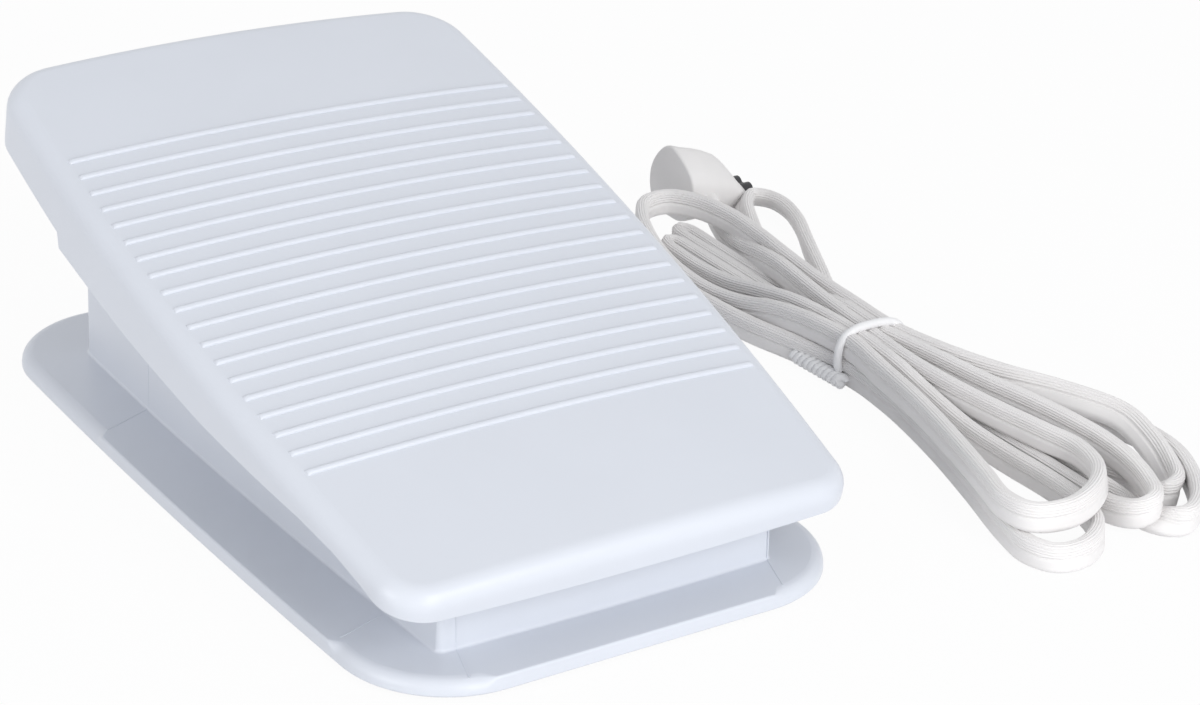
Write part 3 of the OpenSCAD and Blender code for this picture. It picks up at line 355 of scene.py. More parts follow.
def add_lid_workings(shape):
    """Hinge lugs, hooks, stiffening rails, the spring's post and the plunger's pad, rooted in the plate."""
    roof = LID_UNDER + ROOT
    for s in (-1, 1):
        x = s * LUG_X
        shape.rod(x - LUG_W / 2, x + LUG_W / 2, (0, 0), LUG_R, from_lid)
        shape.block((x - LUG_W / 2, 0, 0), (x + LUG_W / 2, LUG_NECK, roof - CROWN / 4), from_lid)
        x = s * HOOK_X
        low, high = x - HOOK_W / 2, x + HOOK_W / 2
        shape.block((low, HOOK_V, NOSE_TOP - NOSE_H), (high, HOOK_V + HOOK_T, roof - CROWN / 4), from_lid)
        shape.block((low, HOOK_V - NOSE, NOSE_TOP - NOSE_H), (high, HOOK_V + HOOK_JOIN, NOSE_TOP), from_lid)
        x = s * (LID_W / 2 - RAIL_IN)
        shape.block((x - RAIL_T / 2, RAIL_END, LID_UNDER - CROWN - RAIL_H),
                    (x + RAIL_T / 2, lid_plan.toe - LID_R - RAIL_END, LID_UNDER - CROWN / 2), from_lid)
    shape.loft([[from_lid((a, POST_V + b, w)) for a, b in circle(POST_R, 32)]
                for w in (LID_UNDER - POST_L, roof)])
    pad_half = PLUNGER_CAP / 3
    shape.rod(PLUNGER_X - pad_half, PLUNGER_X + pad_half, (PAD_V, LID_UNDER), PAD_R, from_lid)


# Base
base_plan = Plan(BASE_L, BASE_W, BASE_TAPER, BASE_BULGE, BASE_R, 0.0, 0.0)
box_plan = Plan(BOX_L, BOX_W, BOX_TAPER, BOX_BULGE, BOX_R, (BOX_HEEL + BOX_TOE) / 2, END_BOW, BOX_HEEL_R)
# Where the flange's edge is crisp: along the sides, easing out at both ends, and across the heel
CRISP_Y, CRISP_EASE, CRISP_X, HEEL_FACING = (-67.5, 32.0), 2.6, (-37.8, 31.8), -0.99
BASE_CORNER_STEPS = 16
FLOOR_EDGE, FLANGE_RING, BOX_FOOT, BOX_TOP = 0.4, 0.3, 0.6, 0.8
PLATE_LEDGE, PLATE_DEPTH = 1.5, 2.0
SLOT_SHIFT, CUT_BEYOND = 0.8, 1.0
EXIT_R, EXIT_Z, EXIT_IN, EXIT_OUT = 5.0, 13.0, 6.0, 3.0


def base_levels():
    """Evenly spaced rows between the flange's corners, and closer ones where its edge eases."""
    rows = list(np.linspace(base_plan.heel + BASE_R, base_plan.toe - BASE_R, 26)[1:-1])
    for y in CRISP_Y:
        eased = [y + CRISP_EASE * u for u in (-0.5, -0.25, 0, 0.25, 0.5)]
        rows = [v for v in rows if abs(v - y) > CRISP_EASE] + eased
    return sorted(rows)


def flange_edge(base):
    """Radius of the flange's upper edge at each point of its outline."""
    x, y = base[:, 0], base[:, 1]
    heel = (x > CRISP_X[0]) & (x < CRISP_X[1]) & (base[:, 3] < HEEL_FACING)
    inside = np.minimum(y - CRISP_Y[0], CRISP_Y[1] - y)
    crisp = np.where(heel, 1, np.clip(0.5 + inside / CRISP_EASE, 0, 1))
    return EDGE_SOFT + (EDGE_CRISP - EDGE_SOFT) * crisp


def base_solid():
    """Flange and box in one moulding, up to the box's sloping top."""
    rows = base_levels()
    scale = (BOX_L - 2 * BOX_R) / (BASE_L - 2 * BASE_R)
    shares = np.linspace(-1, 1, 21)[1:-1]
    base = base_plan.outline(rows, shares, BASE_CORNER_STEPS)
    box = box_plan.outline([box_plan.middle + y * scale for y in rows], shares, BASE_CORNER_STEPS)
    edge = flange_edge(base)
    rings = [inset(base, FLOOR_EDGE, FLOOR_Z), inset(base, 0, FLOOR_Z + FLOOR_EDGE)]
    for a in quarter_turn(6):
        rings.append(inset(base, edge * (1 - math.cos(a)), FLANGE_Z - edge * (1 - math.sin(a))))
    rings.append(inset(base, EDGE_SOFT + FLANGE_RING, FLANGE_Z))
    for a in quarter_turn(4):
        rings.append(inset(box, -BOX_FOOT * (1 - math.sin(a)), FLANGE_Z + BOX_FOOT * (1 - math.cos(a))))
    for a in quarter_turn(4):
        ring = inset(box, BOX_DRAFT + BOX_TOP * (1 - math.cos(a)), 0)
        ring[:, 2] = deck_z(ring[:, 1]) - BOX_TOP * (1 - math.sin(a))
        rings.append(ring)
    return stacked(box_plan, rings)


def box_cavity():
    """The hollow of the box, with a ledge round its foot for the bottom plate."""
    rows = np.linspace(box_plan.heel + BOX_R, box_plan.toe - BOX_R, 12)[1:-1]
    box = box_plan.outline(rows, np.linspace(-1, 1, 9)[1:-1], 6)
    roof = inset(box, WALL + BOX_DRAFT, 0)
    roof[:, 2] = deck_z(roof[:, 1]) - DECK_T
    ledge_z = FLOOR_Z + PLATE_DEPTH
    wide = WALL - PLATE_LEDGE
    foot = [inset(box, wide, FLOOR_Z - CUT_BEYOND), inset(box, wide, ledge_z), inset(box, WALL, ledge_z)]
    return stacked(box_plan, foot + [roof])


def deck_cuts():
    """The openings through the deck, and the lead's hole through the toe wall."""
    shape = Shape()
    room = LUG_W / 2 + LUG_GAP
    for s in (-1, 1):
        shape.block((s * LUG_X - room, HINGE_Y - LUG_R + SLOT_SHIFT, HINGE_Z),
                    (s * LUG_X + room, HINGE_Y + LUG_NECK + SLOT_SHIFT, deck_z(HINGE_Y) + LUG_NECK))
        front = from_lid((0, HOOK_V, NOSE_TOP + DECK_T))[1] - HOOK_ROOM
        back = from_lid((0, HOOK_V + HOOK_T, NOSE_TOP + DECK_T))[1] + HOOK_ROOM
        side = HOOK_W / 2 + HOOK_ROOM
        shape.block((s * HOOK_X - side, front, deck_z(front) - DECK_T - NOSE),
                    (s * HOOK_X + side, back, deck_z(back) + NOSE))
    for (x, y), r, floor in CUPS:
        shape.loft([[(x + a, y + b, z) for a, b in circle(r, 48)] for z in (floor, deck_z(y) + r)])
    shape.loft([[(a, y, EXIT_Z + b) for a, b in circle(EXIT_R, 48)]
                for y in (BOX_TOE - EXIT_IN, BOX_TOE + EXIT_OUT)])
    return shape


def cut(target, cutters):
    """The target's mesh with the cutters taken away."""
    for k, cutter in enumerate(cutters):
        step = target.modifiers.new(f"cut_{k}", "BOOLEAN")
        step.operation = "DIFFERENCE"
        step.solver = "EXACT"
        step.object = cutter
    bpy.context.view_layer.update()
    seen = target.evaluated_get(bpy.context.evaluated_depsgraph_get())
    made = bpy.data.meshes.new_from_object(seen)
    target.modifiers.clear()
    target.data = made
    for cutter in cutters:
        bpy.data.objects.remove(cutter)


CUP_HOLE_R, CUP_ROOT = 4.1, 0.3
WEB_T, WEB_ROOM, WEB_GAP = 3.0, 1.0, 0.5


def add_base_workings(shape):
    """Cups under the deck for the spring and the plunger, and webs that hold the hinge rod."""
    for centre, r, floor in CUPS:
        rim = deck_z(centre[1]) - DECK_T - r * DECK_SLOPE + CUP_ROOT
        shape.lathe([(r, rim), (r, floor), (CUP_HOLE_R, floor), (CUP_HOLE_R, floor - WALL),
                     (r + WALL, floor - WALL), (r + WALL, rim)], centre)
    for s in (-1, 1):
        for k in (-1, 1):
            x = s * LUG_X + k * (LUG_W / 2 + LUG_GAP + WEB_T / 2)
            shape.block((x - WEB_T / 2, HINGE_Y - LUG_R - WEB_ROOM, HINGE_Z - LUG_R),
                        (x + WEB_T / 2, HINGE_Y + LUG_NECK, deck_z(HINGE_Y - LUG_R) - WEB_GAP))


# Fine witness lines of the mould's inserts: on the flange, and upright on the box's sides and front
MOULD_LINES = (
    ((-33.8, -80.6), (-36.8, -90.5)), ((36.9, -80.6), (33.6, -90.5)),
    ((-41.5, 38.6), (-53.2, 33.2)), ((-40.3, -63.0), (-50.6, -66.5)),
    ((41.5, 38.6), (53.2, 33.2)), ((40.3, -63.0), (50.6, -66.5)),
)
LINE_HALF, LINE_RISE, LINE_SINK = 0.16, 0.1, 0.15
SIDE_LINE_Y, SIDE_LINE_TOP, SIDE_LINE_W, SIDE_LINE_RISE, SIDE_LINE_SINK = 38.0, 16.0, 0.25, 0.05, 0.2
FRONT_LINE_X = (MOULD_LINES[0][0][0], MOULD_LINES[1][0][0])
FRONT_LINE_DEEP, FRONT_LINE_DOWN = 0.4, 1.0


def add_mould_lines(shape):
    """Each line as a thin raised strip, sunk a little into the wall that it is on."""
    for p, q in MOULD_LINES:
        p, q = Vector(p), Vector(q)
        along = (q - p).normalized()
        side = Vector((-along.y, along.x)) * LINE_HALF
        corners = (p - side, q - side, q + side, p + side)
        shape.loft([[(c.x, c.y, z) for c in corners] for z in (FLANGE_Z - LINE_SINK, FLANGE_Z + LINE_RISE)])
    wall = box_plan.side(SIDE_LINE_Y)
    draft = BOX_DRAFT / (deck_z(SIDE_LINE_Y) - FLANGE_Z)
    low, high = -SIDE_LINE_SINK, SIDE_LINE_RISE
    section = ((low, 0), (high, 0), (high, SIDE_LINE_W), (low, SIDE_LINE_W))
    for s in (-1, 1):
        shape.loft([[(s * (wall - draft * (z - FLANGE_Z) + d), SIDE_LINE_Y + t, z) for d, t in section]
                    for z in (FLANGE_Z, SIDE_LINE_TOP)])
    for x in FRONT_LINE_X:
        front = box_plan.heel - END_BOW * (1 - (x / box_plan.side(box_plan.heel)) ** 2)
        top = deck_z(front) - FRONT_LINE_DOWN
        left, right, deep = x - LINE_HALF, x + LINE_HALF, FRONT_LINE_DEEP
        section = ((left, 0), (right, 0), (right, deep), (left, deep))
        shape.loft([[(a, front - LINE_RISE + lean + t, z) for a, t in section]
                    for lean, z in ((0, FLANGE_Z), (BOX_DRAFT, top))])


# Cord: one line from the strain relief through the tied hank to the plug
CORD_W, CORD_T, CORD_STEP = 6.4, 3.1, 1.6
# Height of the cord's middle where it stands on the floor, and on another strand
LOW, HIGH = 3.25, 9.6
# Points of (across, along, up), and a lean in degrees to the right where the cord doesn't stand on edge
CORD_ROUTE = (
    # behind the toe and down the right side
    (0, 98.1, 13), (0, 104, 12.8), (2, 112, 11), (7, 120, 8), (16, 126, 5), (28, 129, 3.6), (41, 129, LOW),
    (53, 127, LOW), (65, 123, LOW), (75, 117, LOW), (84, 109, LOW), (91, 99, LOW), (95, 88, LOW),
    (96.4, 74, LOW), (96.6, 58, LOW), (96.7, 42, LOW), (97.4, 26, LOW), (99.2, 12, LOW), (101.6, 2, LOW),
    (105.3, -16, LOW),
    # lowest near turn
    (104.3, -32, LOW), (100, -53, LOW), (94, -74, LOW), (88.4, -91.5, LOW), (86.8, -100.5, LOW),
    (89.3, -106.2, LOW), (95, -107.4, LOW, -8), (101.5, -104.6, LOW, -8), (106.2, -98.8, LOW),
    (108.6, -90, LOW), (109.2, -80, LOW), (108.7, -68, 3.4), (107.5, -56, 4.6), (106.8, -44, 7),
    (107, -32, 9.2), (107.6, -24, HIGH), (108.4, -16, HIGH),
    # inner far turn
    (108.2, -4, HIGH), (107.4, 8, 9.2), (106.9, 20, 7.2), (106.8, 32, 4.6), (107, 44, 3.3),
    (107.1, 54, LOW), (107.7, 60.5, LOW), (109.3, 63.4, LOW), (110.9, 62.2, LOW), (111.2, 57.6, LOW),
    (111.1, 48, LOW), (111, 36, LOW), (110.7, 22, LOW), (110, 8, LOW), (109, -4, LOW), (108.4, -16, LOW),
    # near turn on top
    (110, -30, LOW), (111.7, -46, LOW), (112.5, -60, LOW), (112.9, -75, LOW), (112.8, -88, LOW),
    (112.9, -97.5, 3.8), (114.6, -103, 5.4), (118, -103.4, 6.8), (121.2, -98, 7.3), (123.2, -90, 8.2),
    (123.6, -81, 9), (122.8, -71, 9.4), (121.2, -60, HIGH), (119, -48, HIGH), (117, -32, HIGH),
    (114.8, -16, HIGH),
    # second far turn
    (115.2, -4, HIGH), (116.2, 5, 8.4), (116.9, 15, 5.6), (117.2, 24, 3.6), (117.3, 34, LOW),
    (117.5, 52, LOW), (117.9, 62.5, LOW), (117.6, 67, LOW), (116.2, 68.8, LOW), (114.8, 66.4, LOW),
    (114.3, 58, LOW), (114.2, 45, LOW), (113.9, 30, LOW), (113.3, 14, LOW), (112.3, -2, LOW),
    (111.6, -16, LOW),
    # widest near turn
    (113.6, -30, LOW), (115.6, -46, LOW), (116.5, -60, LOW), (117, -75, LOW), (117.6, -86, 3, -20),
    (118.6, -95.5, 2.1, -75), (119.6, -102.6, 2.4, -60), (123, -107, LOW, -8), (129.4, -104, LOW),
    (135.8, -96.5, 3.5), (140.4, -86, 4.2), (140.4, -73, 4.6), (135, -59, 4.4), (128, -46, 3.8),
    (122, -32, 3.3), (117.9, -16, LOW),
    # far turn that stands clear
    (119.2, -6, LOW), (122, 8, LOW), (127, 20, LOW, -2), (133, 32, 3.3, -5), (140, 46, 3.4, -10),
    (147, 60, 3.6, -18), (150, 70, 3.8, -30), (149.3, 77, 3.9, -42), (145.8, 80, 3.9, -42),
    (141.3, 76, 3.7, -28), (136, 66, 3.4, -12), (130.3, 53, LOW), (126, 40, LOW), (122, 26, LOW),
    (118.6, 10, LOW), (116, -4, LOW), (114.8, -16, LOW),
    # near turn inside the widest one
    (117.2, -30, LOW), (119.4, -46, LOW), (120.6, -60, LOW), (121.8, -74, LOW), (123.2, -84, 3, -20),
    (125.4, -92, 2.4, -65), (128, -96.4, 3, -20), (132, -94.6, 3.4, 15), (135.2, -88, 4.6, 35),
    (137.2, -79.5, 6.6, 45), (137.6, -71, 8.2, 45), (132, -57, 9, 35), (125, -44, 9.4, 15),
    (120.5, -30, HIGH), (117.9, -16, HIGH),
    # high far turn beside the pedal
    (118.4, 0, HIGH), (119.2, 15, HIGH), (120.9, 30, 9.7), (122.6, 44, 9.9), (123.2, 57, 10.1),
    (121.4, 69, 9.9), (117, 75.5, 9.6), (110.5, 75.5, 9.2), (105.5, 69.5, 8.4), (102.6, 61, 6.4),
    (101.4, 52, 4.4), (101, 42, 3.4), (101.2, 31, 3.6), (102, 20, 5.2), (103, 9, 8), (104.3, -2, 9.3),
    (105.3, -16, HIGH),
    # upper near turn
    (102.5, -32, HIGH), (99, -50, HIGH), (94.5, -67, HIGH), (89.8, -83, HIGH), (86.8, -93, HIGH),
    (88.3, -99.6, HIGH, -6), (95.5, -101.8, HIGH, -12), (105, -98.6, HIGH, -12), (112.6, -92, HIGH, -12),
    (115.6, -82.6, HIGH, -8), (114, -72, HIGH), (112, -59, HIGH), (110.6, -45, HIGH), (110.4, -30, HIGH),
    (111.6, -16, HIGH),
    # out to the plug
    (113.2, 2, HIGH), (115.2, 16, HIGH), (117, 27, 9.4), (118.9, 37, 8), (121, 47, 5.8), (123.6, 56, 4.3),
    (126.6, 64.5, 4), (129.4, 71.8, 4.3), (131, 75.4, 4.6), (131.6, 78.5, 4.8),
)


def even_line(route, step):
    """Smooth line through the route's points, at even steps; the last column is the lean."""
    p = np.array([(*q, 0.0)[:4] for q in route], float)
    p = np.vstack([2 * p[0] - p[1], p, 2 * p[-1] - p[-2]])
    knot = np.concatenate([[0], np.cumsum(np.sqrt(np.linalg.norm(np.diff(p[:, :3], axis=0), axis=1)))])
    line = []
    for i in range(1, len(p) - 2):
        t0, t1, t2, t3 = knot[i - 1:i + 3]
        for t in np.linspace(t1, t2, 16, endpoint=False):
            a = [((knot[i + k] - t) * p[i - 1 + k] + (t - knot[i - 1 + k]) * p[i + k])
                 / (knot[i + k] - knot[i - 1 + k]) for k in range(3)]
            b0 = ((t2 - t) * a[0] + (t - t0) * a[1]) / (t2 - t0)
            b1 = ((t3 - t) * a[1] + (t - t1) * a[2]) / (t3 - t1)
            line.append(((t2 - t) * b0 + (t - t1) * b1) / (t2 - t1))
    line = np.array(line + [p[-2]])
    run = np.concatenate([[0], np.cumsum(np.linalg.norm(np.diff(line[:, :3], axis=0), axis=1))])
    marks = np.linspace(0, run[-1], int(run[-1] / step) + 1)
    return np.column_stack([np.interp(marks, run, line[:, k]) for k in range(4)])


def headings(line):
    """Unit directions along a line."""
    t = np.gradient(line, axis=0)
    return t / np.linalg.norm(t, axis=1)[:, None]


def swept(shape, line, section, up_hint=(0, 0, 1)):
    """A closed tube: section is a list of (across, upright) points, and the line's lean turns it."""
    lean = np.radians(line[:, 3:4])
    line = line[:, :3]
    t = headings(line)
    side = np.cross(t, np.array(up_hint, float))
    side /= np.linalg.norm(side, axis=1)[:, None]
    up = np.cross(side, t)
    c, s = np.cos(lean), np.sin(lean)
    side, up = side * c - up * s, up * c + side * s
    shape.loft([[line[i] + a * side[i] + b * up[i] for a, b in section] for i in range(len(line))])


def cord_section():
    """A flat lead on edge: two cores, a fine groove between them and lengthwise ribs on the upper one."""
    corner, groove, groove_half = 1.25, 0.42, 0.3
    flat = CORD_W / 2 - corner
    arc = quarter_turn(12)
    right = [(CORD_T / 2, h) for h in np.linspace(0, flat, 20)]
    right += [(CORD_T / 2 - corner * (1 - math.cos(a)), flat + corner * math.sin(a)) for a in arc[1:]]
    right += [(x, CORD_W / 2) for x in np.linspace(CORD_T / 2 - corner, 0, 3)[1:]]
    right = np.array(right)
    run = np.concatenate([[0], np.cumsum(np.linalg.norm(np.diff(right, axis=0), axis=1))])
    ribs, rib_depth = 7, 0.15
    upper = []
    for u in np.linspace(0, 1, 12 * ribs + 1)[:-1]:
        x, h = (np.interp(u * run[-1], run, right[:, k]) for k in range(2))
        dip = rib_depth * math.sin(math.pi * ribs * u) ** 2
        dip += groove * math.exp(-(u * run[-1] / groove_half) ** 2)
        length = math.hypot(x, max(0.0, h - flat))
        upper.append((x - dip * x / length, h - dip * max(0.0, h - flat) / length))
    lower = [(x - groove * math.exp(-(h / groove_half) ** 2), -h) for x, h in right[1:-1]]
    quarter = upper + [(0, CORD_W / 2)]
    half = quarter + [(-x, h) for x, h in reversed(upper)]
    return half + [(-x, h) for x, h in lower] + [(0, -CORD_W / 2)] + lower[::-1]


# Plug: an oval face on the left, a back that falls away to the dark tip on the right
PLUG_Y = 86.4
PLUG_FACE = (
    (0, 0.2), (4.6, 0.4), (7.6, 1.8), (9.3, 4.6), (9.8, 7.6), (9.2, 11.2), (6.8, 15.2), (3.6, 18), (0.2, 19),
    (-3.2, 17.8), (-6, 16.2), (-8.4, 14.3), (-9.9, 12), (-10.2, 9), (-9.7, 5.5), (-8, 2), (-4.6, 0.4),
)
# Place across, share of the face's width, share of its height
PLUG_RINGS = (
    (125.3, 0.955, 0.965), (125.45, 0.982, 0.987), (125.9, 1, 1), (128.4, 0.985, 0.955),
    (132, 0.955, 0.905), (135, 0.92, 0.85), (138, 0.87, 0.775), (139.6, 0.835, 0.705), (140.9, 0.8, 0.635),
    (142.4, 0.755, 0.54), (143.6, 0.715, 0.455), (144.6, 0.675, 0.395), (145.5, 0.63, 0.345),
    (146.1, 0.575, 0.305), (146.4, 0.5, 0.26),
)
# Sleeve where the cord goes in: place, half width, half height
PLUG_NECK = (((131.9, 80, 5), 3.4, 4.7), ((131.6, 77.4, 4.8), 3, 4.2), ((131.2, 75.2, 4.7), 2.3, 3.7),
             ((131, 74.4, 4.6), 1.9, 3.4))


def plug_shape():
    """The shell, lofted from its smoothed face, and the cord's sleeve."""
    shape = Shape()
    step, window, sides = 0.05, 400, 80
    closed = PLUG_FACE[-2:] + PLUG_FACE + PLUG_FACE[:2]
    line = even_line([(0, y, z) for y, z in closed], step)
    first = int(np.argmin(np.linalg.norm(line[:window, 1:3] - PLUG_FACE[0], axis=1)))
    last = len(line) - 1 - int(np.argmin(np.linalg.norm(line[:-window:-1, 1:3] - PLUG_FACE[0], axis=1)))
    face = line[np.linspace(first, last, sides + 1).astype(int)[:-1], 1:3]
    shape.loft([[(x, PLUG_Y + y * wide, z * high) for y, z in face] for x, wide, high in PLUG_RINGS])
    shape.loft([[(p[0] + w * a, p[1], p[2] + h * b) for a, b in circle(1, 32)] for p, w, h in PLUG_NECK])
    return shape


# Wire tie round the hank: its loop, and the twist of its ends along the floor
WAIST, TIE_R, TIE_WIDE, TIE_HIGH = (111.6, -16.0), 1.0, 8.9, 6.3
TIE_START, TIE_SWEEP, TIE_STEPS, TIE_ROUND, TIE_PITCH, TIE_STEP = 215, 352, 72, 0.7, 1.4, 0.6
TWIST_START, TWIST_RUN, TWIST_DRIFT, TWIST_R = (102.6, -18.2, 2.0), 17.0, 0.9, 0.95
TWIST_TURNS, TWIST_STEPS = 5, 156


def tie_shape():
    """A loop that meets itself low on the left, and its two ends twisted together."""
    shape = Shape()
    loop = []
    for k in range(TIE_STEPS + 1):
        u = k / TIE_STEPS
        a = math.radians(TIE_START + TIE_SWEEP * u)
        c, s = (math.copysign(abs(v) ** TIE_ROUND, v) for v in (math.cos(a), math.sin(a)))
        loop.append((WAIST[0] + c * TIE_WIDE, WAIST[1] + TIE_PITCH * (u - 0.5),
                     TIE_R + TIE_HIGH + s * TIE_HIGH))
    swept(shape, even_line(loop, TIE_STEP), circle(TIE_R, 12), (0, 1, 0))
    for phase in (0, math.pi):
        strand = []
        for k in range(TWIST_STEPS + 1):
            u = k / TWIST_STEPS
            a = phase + 2 * math.pi * TWIST_TURNS * u
            x, y, z = TWIST_START
            strand.append((x + TWIST_R * math.cos(a) - TWIST_DRIFT * u, y + TWIST_RUN * u,
                           z + TWIST_R * math.sin(a), 0))
        swept(shape, np.array(strand), circle(TWIST_R, 10))
    return shape


# Springs, each in two lengths on the bodies that its ends sit on, so that a press doesn't push it through the
# tread: node, axis, coil, wire, turns, foot, top, upper body, share of the length on the base
SPRINGS = (
    ("return_spring", (0, SPRING_Y), 15.0, 1.6, 6, 24.87, 56.68, "lid", 0.5),
    ("plunger_spring", (PLUNGER_X, PLUNGER_Y), 10.0, 0.8, 5, 29.99, 46.42, "plunger", 0.33),
)


def coil_shape(axis, coil, wire, turns, foot, top, first, last):
    """The part of a spring between two shares of its length."""
    shape = Shape()
    line = []
    for u in np.linspace(first, last, int(24 * turns * (last - first)) + 1):
        a = 2 * math.pi * turns * u
        line.append((axis[0] + coil / 2 * math.cos(a), axis[1] + coil / 2 * math.sin(a),
                     foot + wire / 2 + (top - foot - wire) * u, 0))
    swept(shape, np.array(line), circle(wire / 2, 10))
    return shape


# Finishes
PLASTIC_IOR, NOISE_DETAIL = 1.46, 3.0
GRAIN_SCALE, GRAIN_HEIGHT = 900.0, 0.0001


def noise_mix(nodes, links, where, scale, low, high):
    """A colour that drifts between two near tones over the surface."""
    noise = nodes.new("ShaderNodeTexNoise")
    noise.inputs["Scale"].default_value = scale
    noise.inputs["Detail"].default_value = NOISE_DETAIL
    ramp = nodes.new("ShaderNodeValToRGB")
    ramp.color_ramp.elements[0].position = 0.35
    ramp.color_ramp.elements[1].position = 0.65
    ramp.color_ramp.elements[0].color = (*low, 1)
    ramp.color_ramp.elements[1].color = (*high, 1)
    links.new(where, noise.inputs["Vector"])
    links.new(noise.outputs["Fac"], ramp.inputs["Fac"])
    return ramp.outputs["Color"]


def finish(name, colour, rough, metallic=0.0, drift=0.03, scale=60.0, bump=0.0):
    """A material whose colour drifts a little, with a fine grain where bump is given."""
    made = bpy.data.materials.new(name)
    made.use_nodes = True
    nodes, links = made.node_tree.nodes, made.node_tree.links
    shader = nodes["Principled BSDF"]
    where = nodes.new("ShaderNodeTexCoord").outputs["Object"]
    low = [max(0.0, c * (1 - drift)) for c in colour]
    high = [min(1.0, c * (1 + drift)) for c in colour]
    links.new(noise_mix(nodes, links, where, scale, low, high), shader.inputs["Base Color"])
    shader.inputs["Roughness"].default_value = rough
    shader.inputs["Metallic"].default_value = metallic
    shader.inputs["IOR"].default_value = PLASTIC_IOR
    if bump:
        grain = nodes.new("ShaderNodeTexNoise")
        grain.inputs["Scale"].default_value = GRAIN_SCALE
        lift = nodes.new("ShaderNodeBump")
        lift.inputs["Strength"].default_value = bump
        lift.inputs["Distance"].default_value = GRAIN_HEIGHT
        links.new(where, grain.inputs["Vector"])
        links.new(grain.outputs["Fac"], lift.inputs["Height"])
        links.new(lift.outputs["Normal"], shader.inputs["Normal"])
    return made


FINISHES = {
    "moulded_plastic": finish("moulded_plastic", (0.69, 0.72, 0.782), 0.34, drift=0.008, scale=35, bump=0.03),
    "cord_cover": finish("cord_cover", (0.82, 0.805, 0.80), 0.46, drift=0.02, scale=90, bump=0.08),
    "tie_plastic": finish("tie_plastic", (0.86, 0.86, 0.87), 0.35, drift=0.01),
    "foot_rubber": finish("foot_rubber", (0.05, 0.05, 0.055), 0.8, drift=0.15, bump=0.3),
    "steel": finish("steel", (0.62, 0.63, 0.65), 0.3, metallic=1.0, drift=0.06, scale=300),
    "natural_plastic": finish("natural_plastic", (0.82, 0.80, 0.74), 0.45, drift=0.02),
    "dark_plastic": finish("dark_plastic", (0.04, 0.04, 0.045), 0.45, drift=0.2),
    "board": finish("board", (0.05, 0.17, 0.08), 0.4, drift=0.25, scale=400, bump=0.1),
    "sink_metal": finish("sink_metal", (0.7, 0.71, 0.72), 0.4, metallic=1.0, drift=0.05, scale=300),
    "capacitor_case": finish("capacitor_case", (0.62, 0.40, 0.06), 0.4, drift=0.05),
    "winding": finish("winding", (0.55, 0.24, 0.09), 0.3, metallic=1.0, drift=0.2, scale=700),
    "resistor_coat": finish("resistor_coat", (0.60, 0.45, 0.28), 0.5, drift=0.12, scale=600),
    "terminal_plastic": finish("terminal_plastic", (0.08, 0.22, 0.45), 0.45, drift=0.06),
    "contact_brass": finish("contact_brass", (0.72, 0.53, 0.24), 0.3, metallic=1.0, drift=0.06, scale=300),
}


def dress(obj, slot):
    obj.data.materials.clear()
    obj.data.materials.append(FINISHES[slot])


def piece(name, mesh, slot, body, replaced, sharp):
    """A dressed object that rides on a body and stands in for CAD nodes."""
    made = new_object(name, mesh)
    smooth(made, sharp)
    dress(made, slot)
    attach(made, body)
    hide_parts(*replaced)
    return made


for row in frame["record"]["subparts"]:
    dress(NODES[row["node"]], row["material_slot"])

# The pieces
housing = new_object("housing", base_solid().mesh("housing"))
cavity = new_object("cavity", box_cavity().mesh("cavity"))
cut(housing, [cavity, new_object("cuts", deck_cuts().mesh("cuts"))])
extra = Shape()
add_base_workings(extra)
add_mould_lines(extra)
joined = bmesh.new()
joined.from_mesh(housing.data)
joined.from_mesh(extra.mesh("extra"))
joined.to_mesh(housing.data)
joined.free()
smooth(housing, 30)
heights = [v.co.z for v in housing.data.vertices]
for face in housing.data.polygons:
    if all(abs(heights[v] - FLANGE_Z * MM) < 1e-6 for v in face.vertices):
        face.use_smooth = False
dress(housing, "moulded_plastic")
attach(housing, "base")
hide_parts("base_housing")

tread = lid_shape()
add_lid_workings(tread)
piece("tread", tread.mesh("tread"), "moulded_plastic", "lid", ["lid"], 40)

for node, axis, coil, wire, turns, foot, top, upper, share in SPRINGS:
    for body, first, last in (("base", 0, share), (upper, share, 1)):
        mesh = coil_shape(axis, coil, wire, turns, foot, top, first, last).mesh(node)
        piece(f"{node}_on_{body}", mesh, "steel", body, [node], 60)

cord_run = even_line(CORD_ROUTE, CORD_STEP)
cord_mesh = Shape()
swept(cord_mesh, cord_run, cord_section())
cord = piece("cord", cord_mesh.mesh("cord"), "cord_cover", "base",
             ["mains_lead", "cord_hank", "loose_turn", "plug_lead"], 60)
plug = piece("plug", plug_shape().mesh("plug"), "cord_cover", "base", ["plug_shell"], 50)
tie = piece("tie", tie_shape().mesh("tie"), "tie_plastic", "base", ["twist_tie"], 60)


# Floor, light and camera
def backdrop_paths(nodes, links):
    """1 for rays that should see the plain white background."""
    rays = nodes.new("ShaderNodeLightPath")
    total = rays.outputs["Is Camera Ray"]
    for name in ("Is Glossy Ray", "Is Transmission Ray"):
        join = nodes.new("ShaderNodeMath")
        join.operation = "MAXIMUM"
        links.new(total, join.inputs[0])
        links.new(rays.outputs[name], join.inputs[1])
        total = join.outputs[0]
    return total


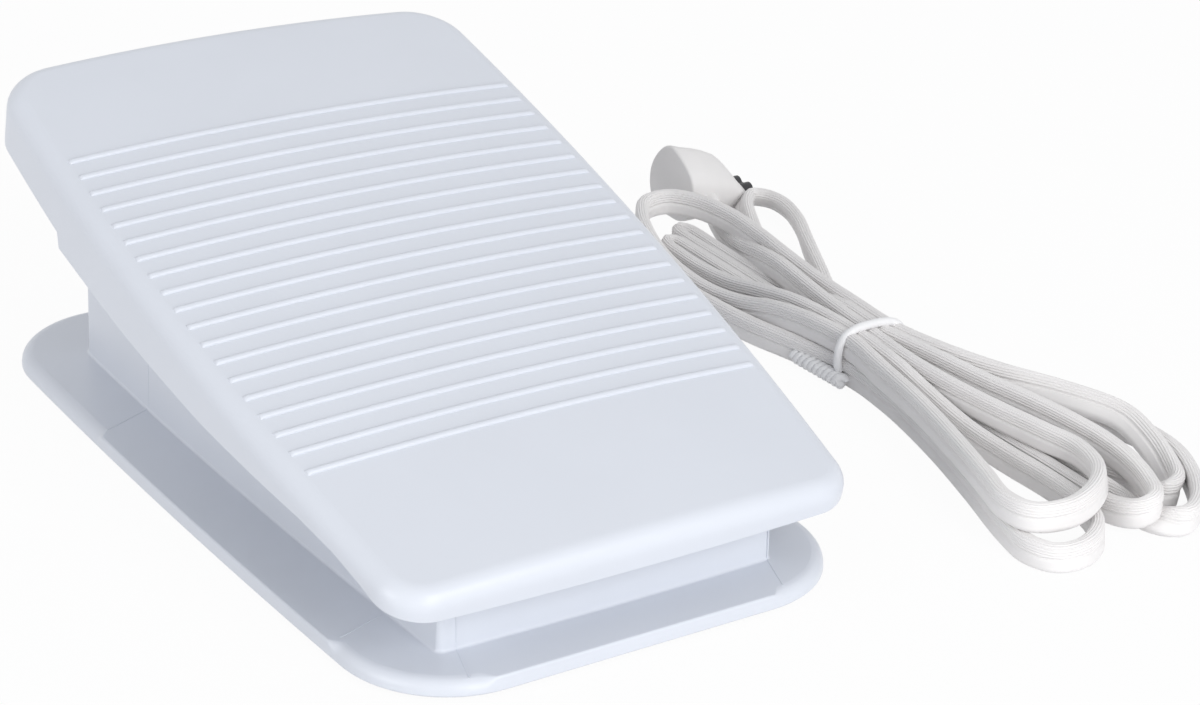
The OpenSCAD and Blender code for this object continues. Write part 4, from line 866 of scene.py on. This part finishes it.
def floor_material():
    made = bpy.data.materials.new("floor_white")
    made.use_nodes = True
    nodes, links = made.node_tree.nodes, made.node_tree.links
    nodes.clear()
    out = nodes.new("ShaderNodeOutputMaterial")
    plain = nodes.new("ShaderNodeBsdfDiffuse")
    plain.inputs["Color"].default_value = (0.86, 0.86, 0.87, 1)
    glow = nodes.new("ShaderNodeEmission")
    glow.inputs["Color"].default_value = (1, 1, 1, 1)
    seen = nodes.new("ShaderNodeMixShader")
    seen.inputs["Fac"].default_value = 0.95
    links.new(plain.outputs[0], seen.inputs[1])
    links.new(glow.outputs[0], seen.inputs[2])
    pick = nodes.new("ShaderNodeMixShader")
    links.new(backdrop_paths(nodes, links), pick.inputs["Fac"])
    links.new(plain.outputs[0], pick.inputs[1])
    links.new(seen.outputs[0], pick.inputs[2])
    links.new(pick.outputs[0], out.inputs["Surface"])
    return made


floor_mesh = bpy.data.meshes.new("floor")
floor_mesh.from_pydata([(-4, -4, 0), (4, -4, 0), (4, 4, 0), (-4, 4, 0)], [], [(0, 1, 2, 3)])
floor = new_object("floor", floor_mesh)
floor.data.materials.append(floor_material())

world = bpy.data.worlds.new("studio")
bpy.context.scene.world = world
world.use_nodes = True
sky, sky_links = world.node_tree.nodes, world.node_tree.links
sky.clear()
sky_out = sky.new("ShaderNodeOutputWorld")
lit = sky.new("ShaderNodeBackground")
lit.inputs["Color"].default_value = (0.97, 0.98, 1.0, 1)
lit.inputs["Strength"].default_value = 0.62
white = sky.new("ShaderNodeBackground")
white.inputs["Color"].default_value = (1, 1, 1, 1)
white.inputs["Strength"].default_value = 1.0
choose = sky.new("ShaderNodeMixShader")
sky_links.new(backdrop_paths(sky, sky_links), choose.inputs["Fac"])
sky_links.new(lit.outputs[0], choose.inputs[1])
sky_links.new(white.outputs[0], choose.inputs[2])
sky_links.new(choose.outputs[0], sky_out.inputs["Surface"])


def area_light(name, place, target, size, power):
    data = bpy.data.lights.new(name, "AREA")
    data.shape = "SQUARE"
    data.size = size
    data.energy = power
    made = bpy.data.objects.new(name, data)
    bpy.context.scene.collection.objects.link(made)
    made.location = place
    made.rotation_euler = (Vector(target) - Vector(place)).to_track_quat("-Z", "Y").to_euler()


area_light("low_front", (-0.05, -1.15, 0.2), (0.03, 0.0, 0.03), 0.5, 3.0)
area_light("high_front", (0.15, -1.0, 0.62), (0.05, 0.0, 0.03), 0.5, 4.2)
area_light("left_fill", (-1.1, -0.2, 0.45), (0.03, 0.0, 0.03), 0.5, 3.0)

IMAGE_WIDTH = 1200
FOCAL_PIXELS = 2909.26
SENSOR = 36.0
CAMERA_PLACE = (-270.098, -482.020, 281.332)
CAMERA_TURN = (1.952268, -0.545064, 0.397606)
turn = Vector(CAMERA_TURN)
to_camera = Matrix.Rotation(turn.length, 3, turn.normalized())
axes = Matrix((to_camera[0], -to_camera[1], -to_camera[2])).transposed()
lens = bpy.data.cameras.new("camera")
lens.sensor_width = SENSOR
lens.lens = FOCAL_PIXELS * SENSOR / IMAGE_WIDTH
lens.clip_start = 0.01
camera = bpy.data.objects.new("camera", lens)
bpy.context.scene.collection.objects.link(camera)
camera.matrix_world = Matrix.Translation(Vector(CAMERA_PLACE) * MM) @ axes.to_4x4()
bpy.context.scene.camera = camera
bpy.context.scene.view_settings.view_transform = "Standard"
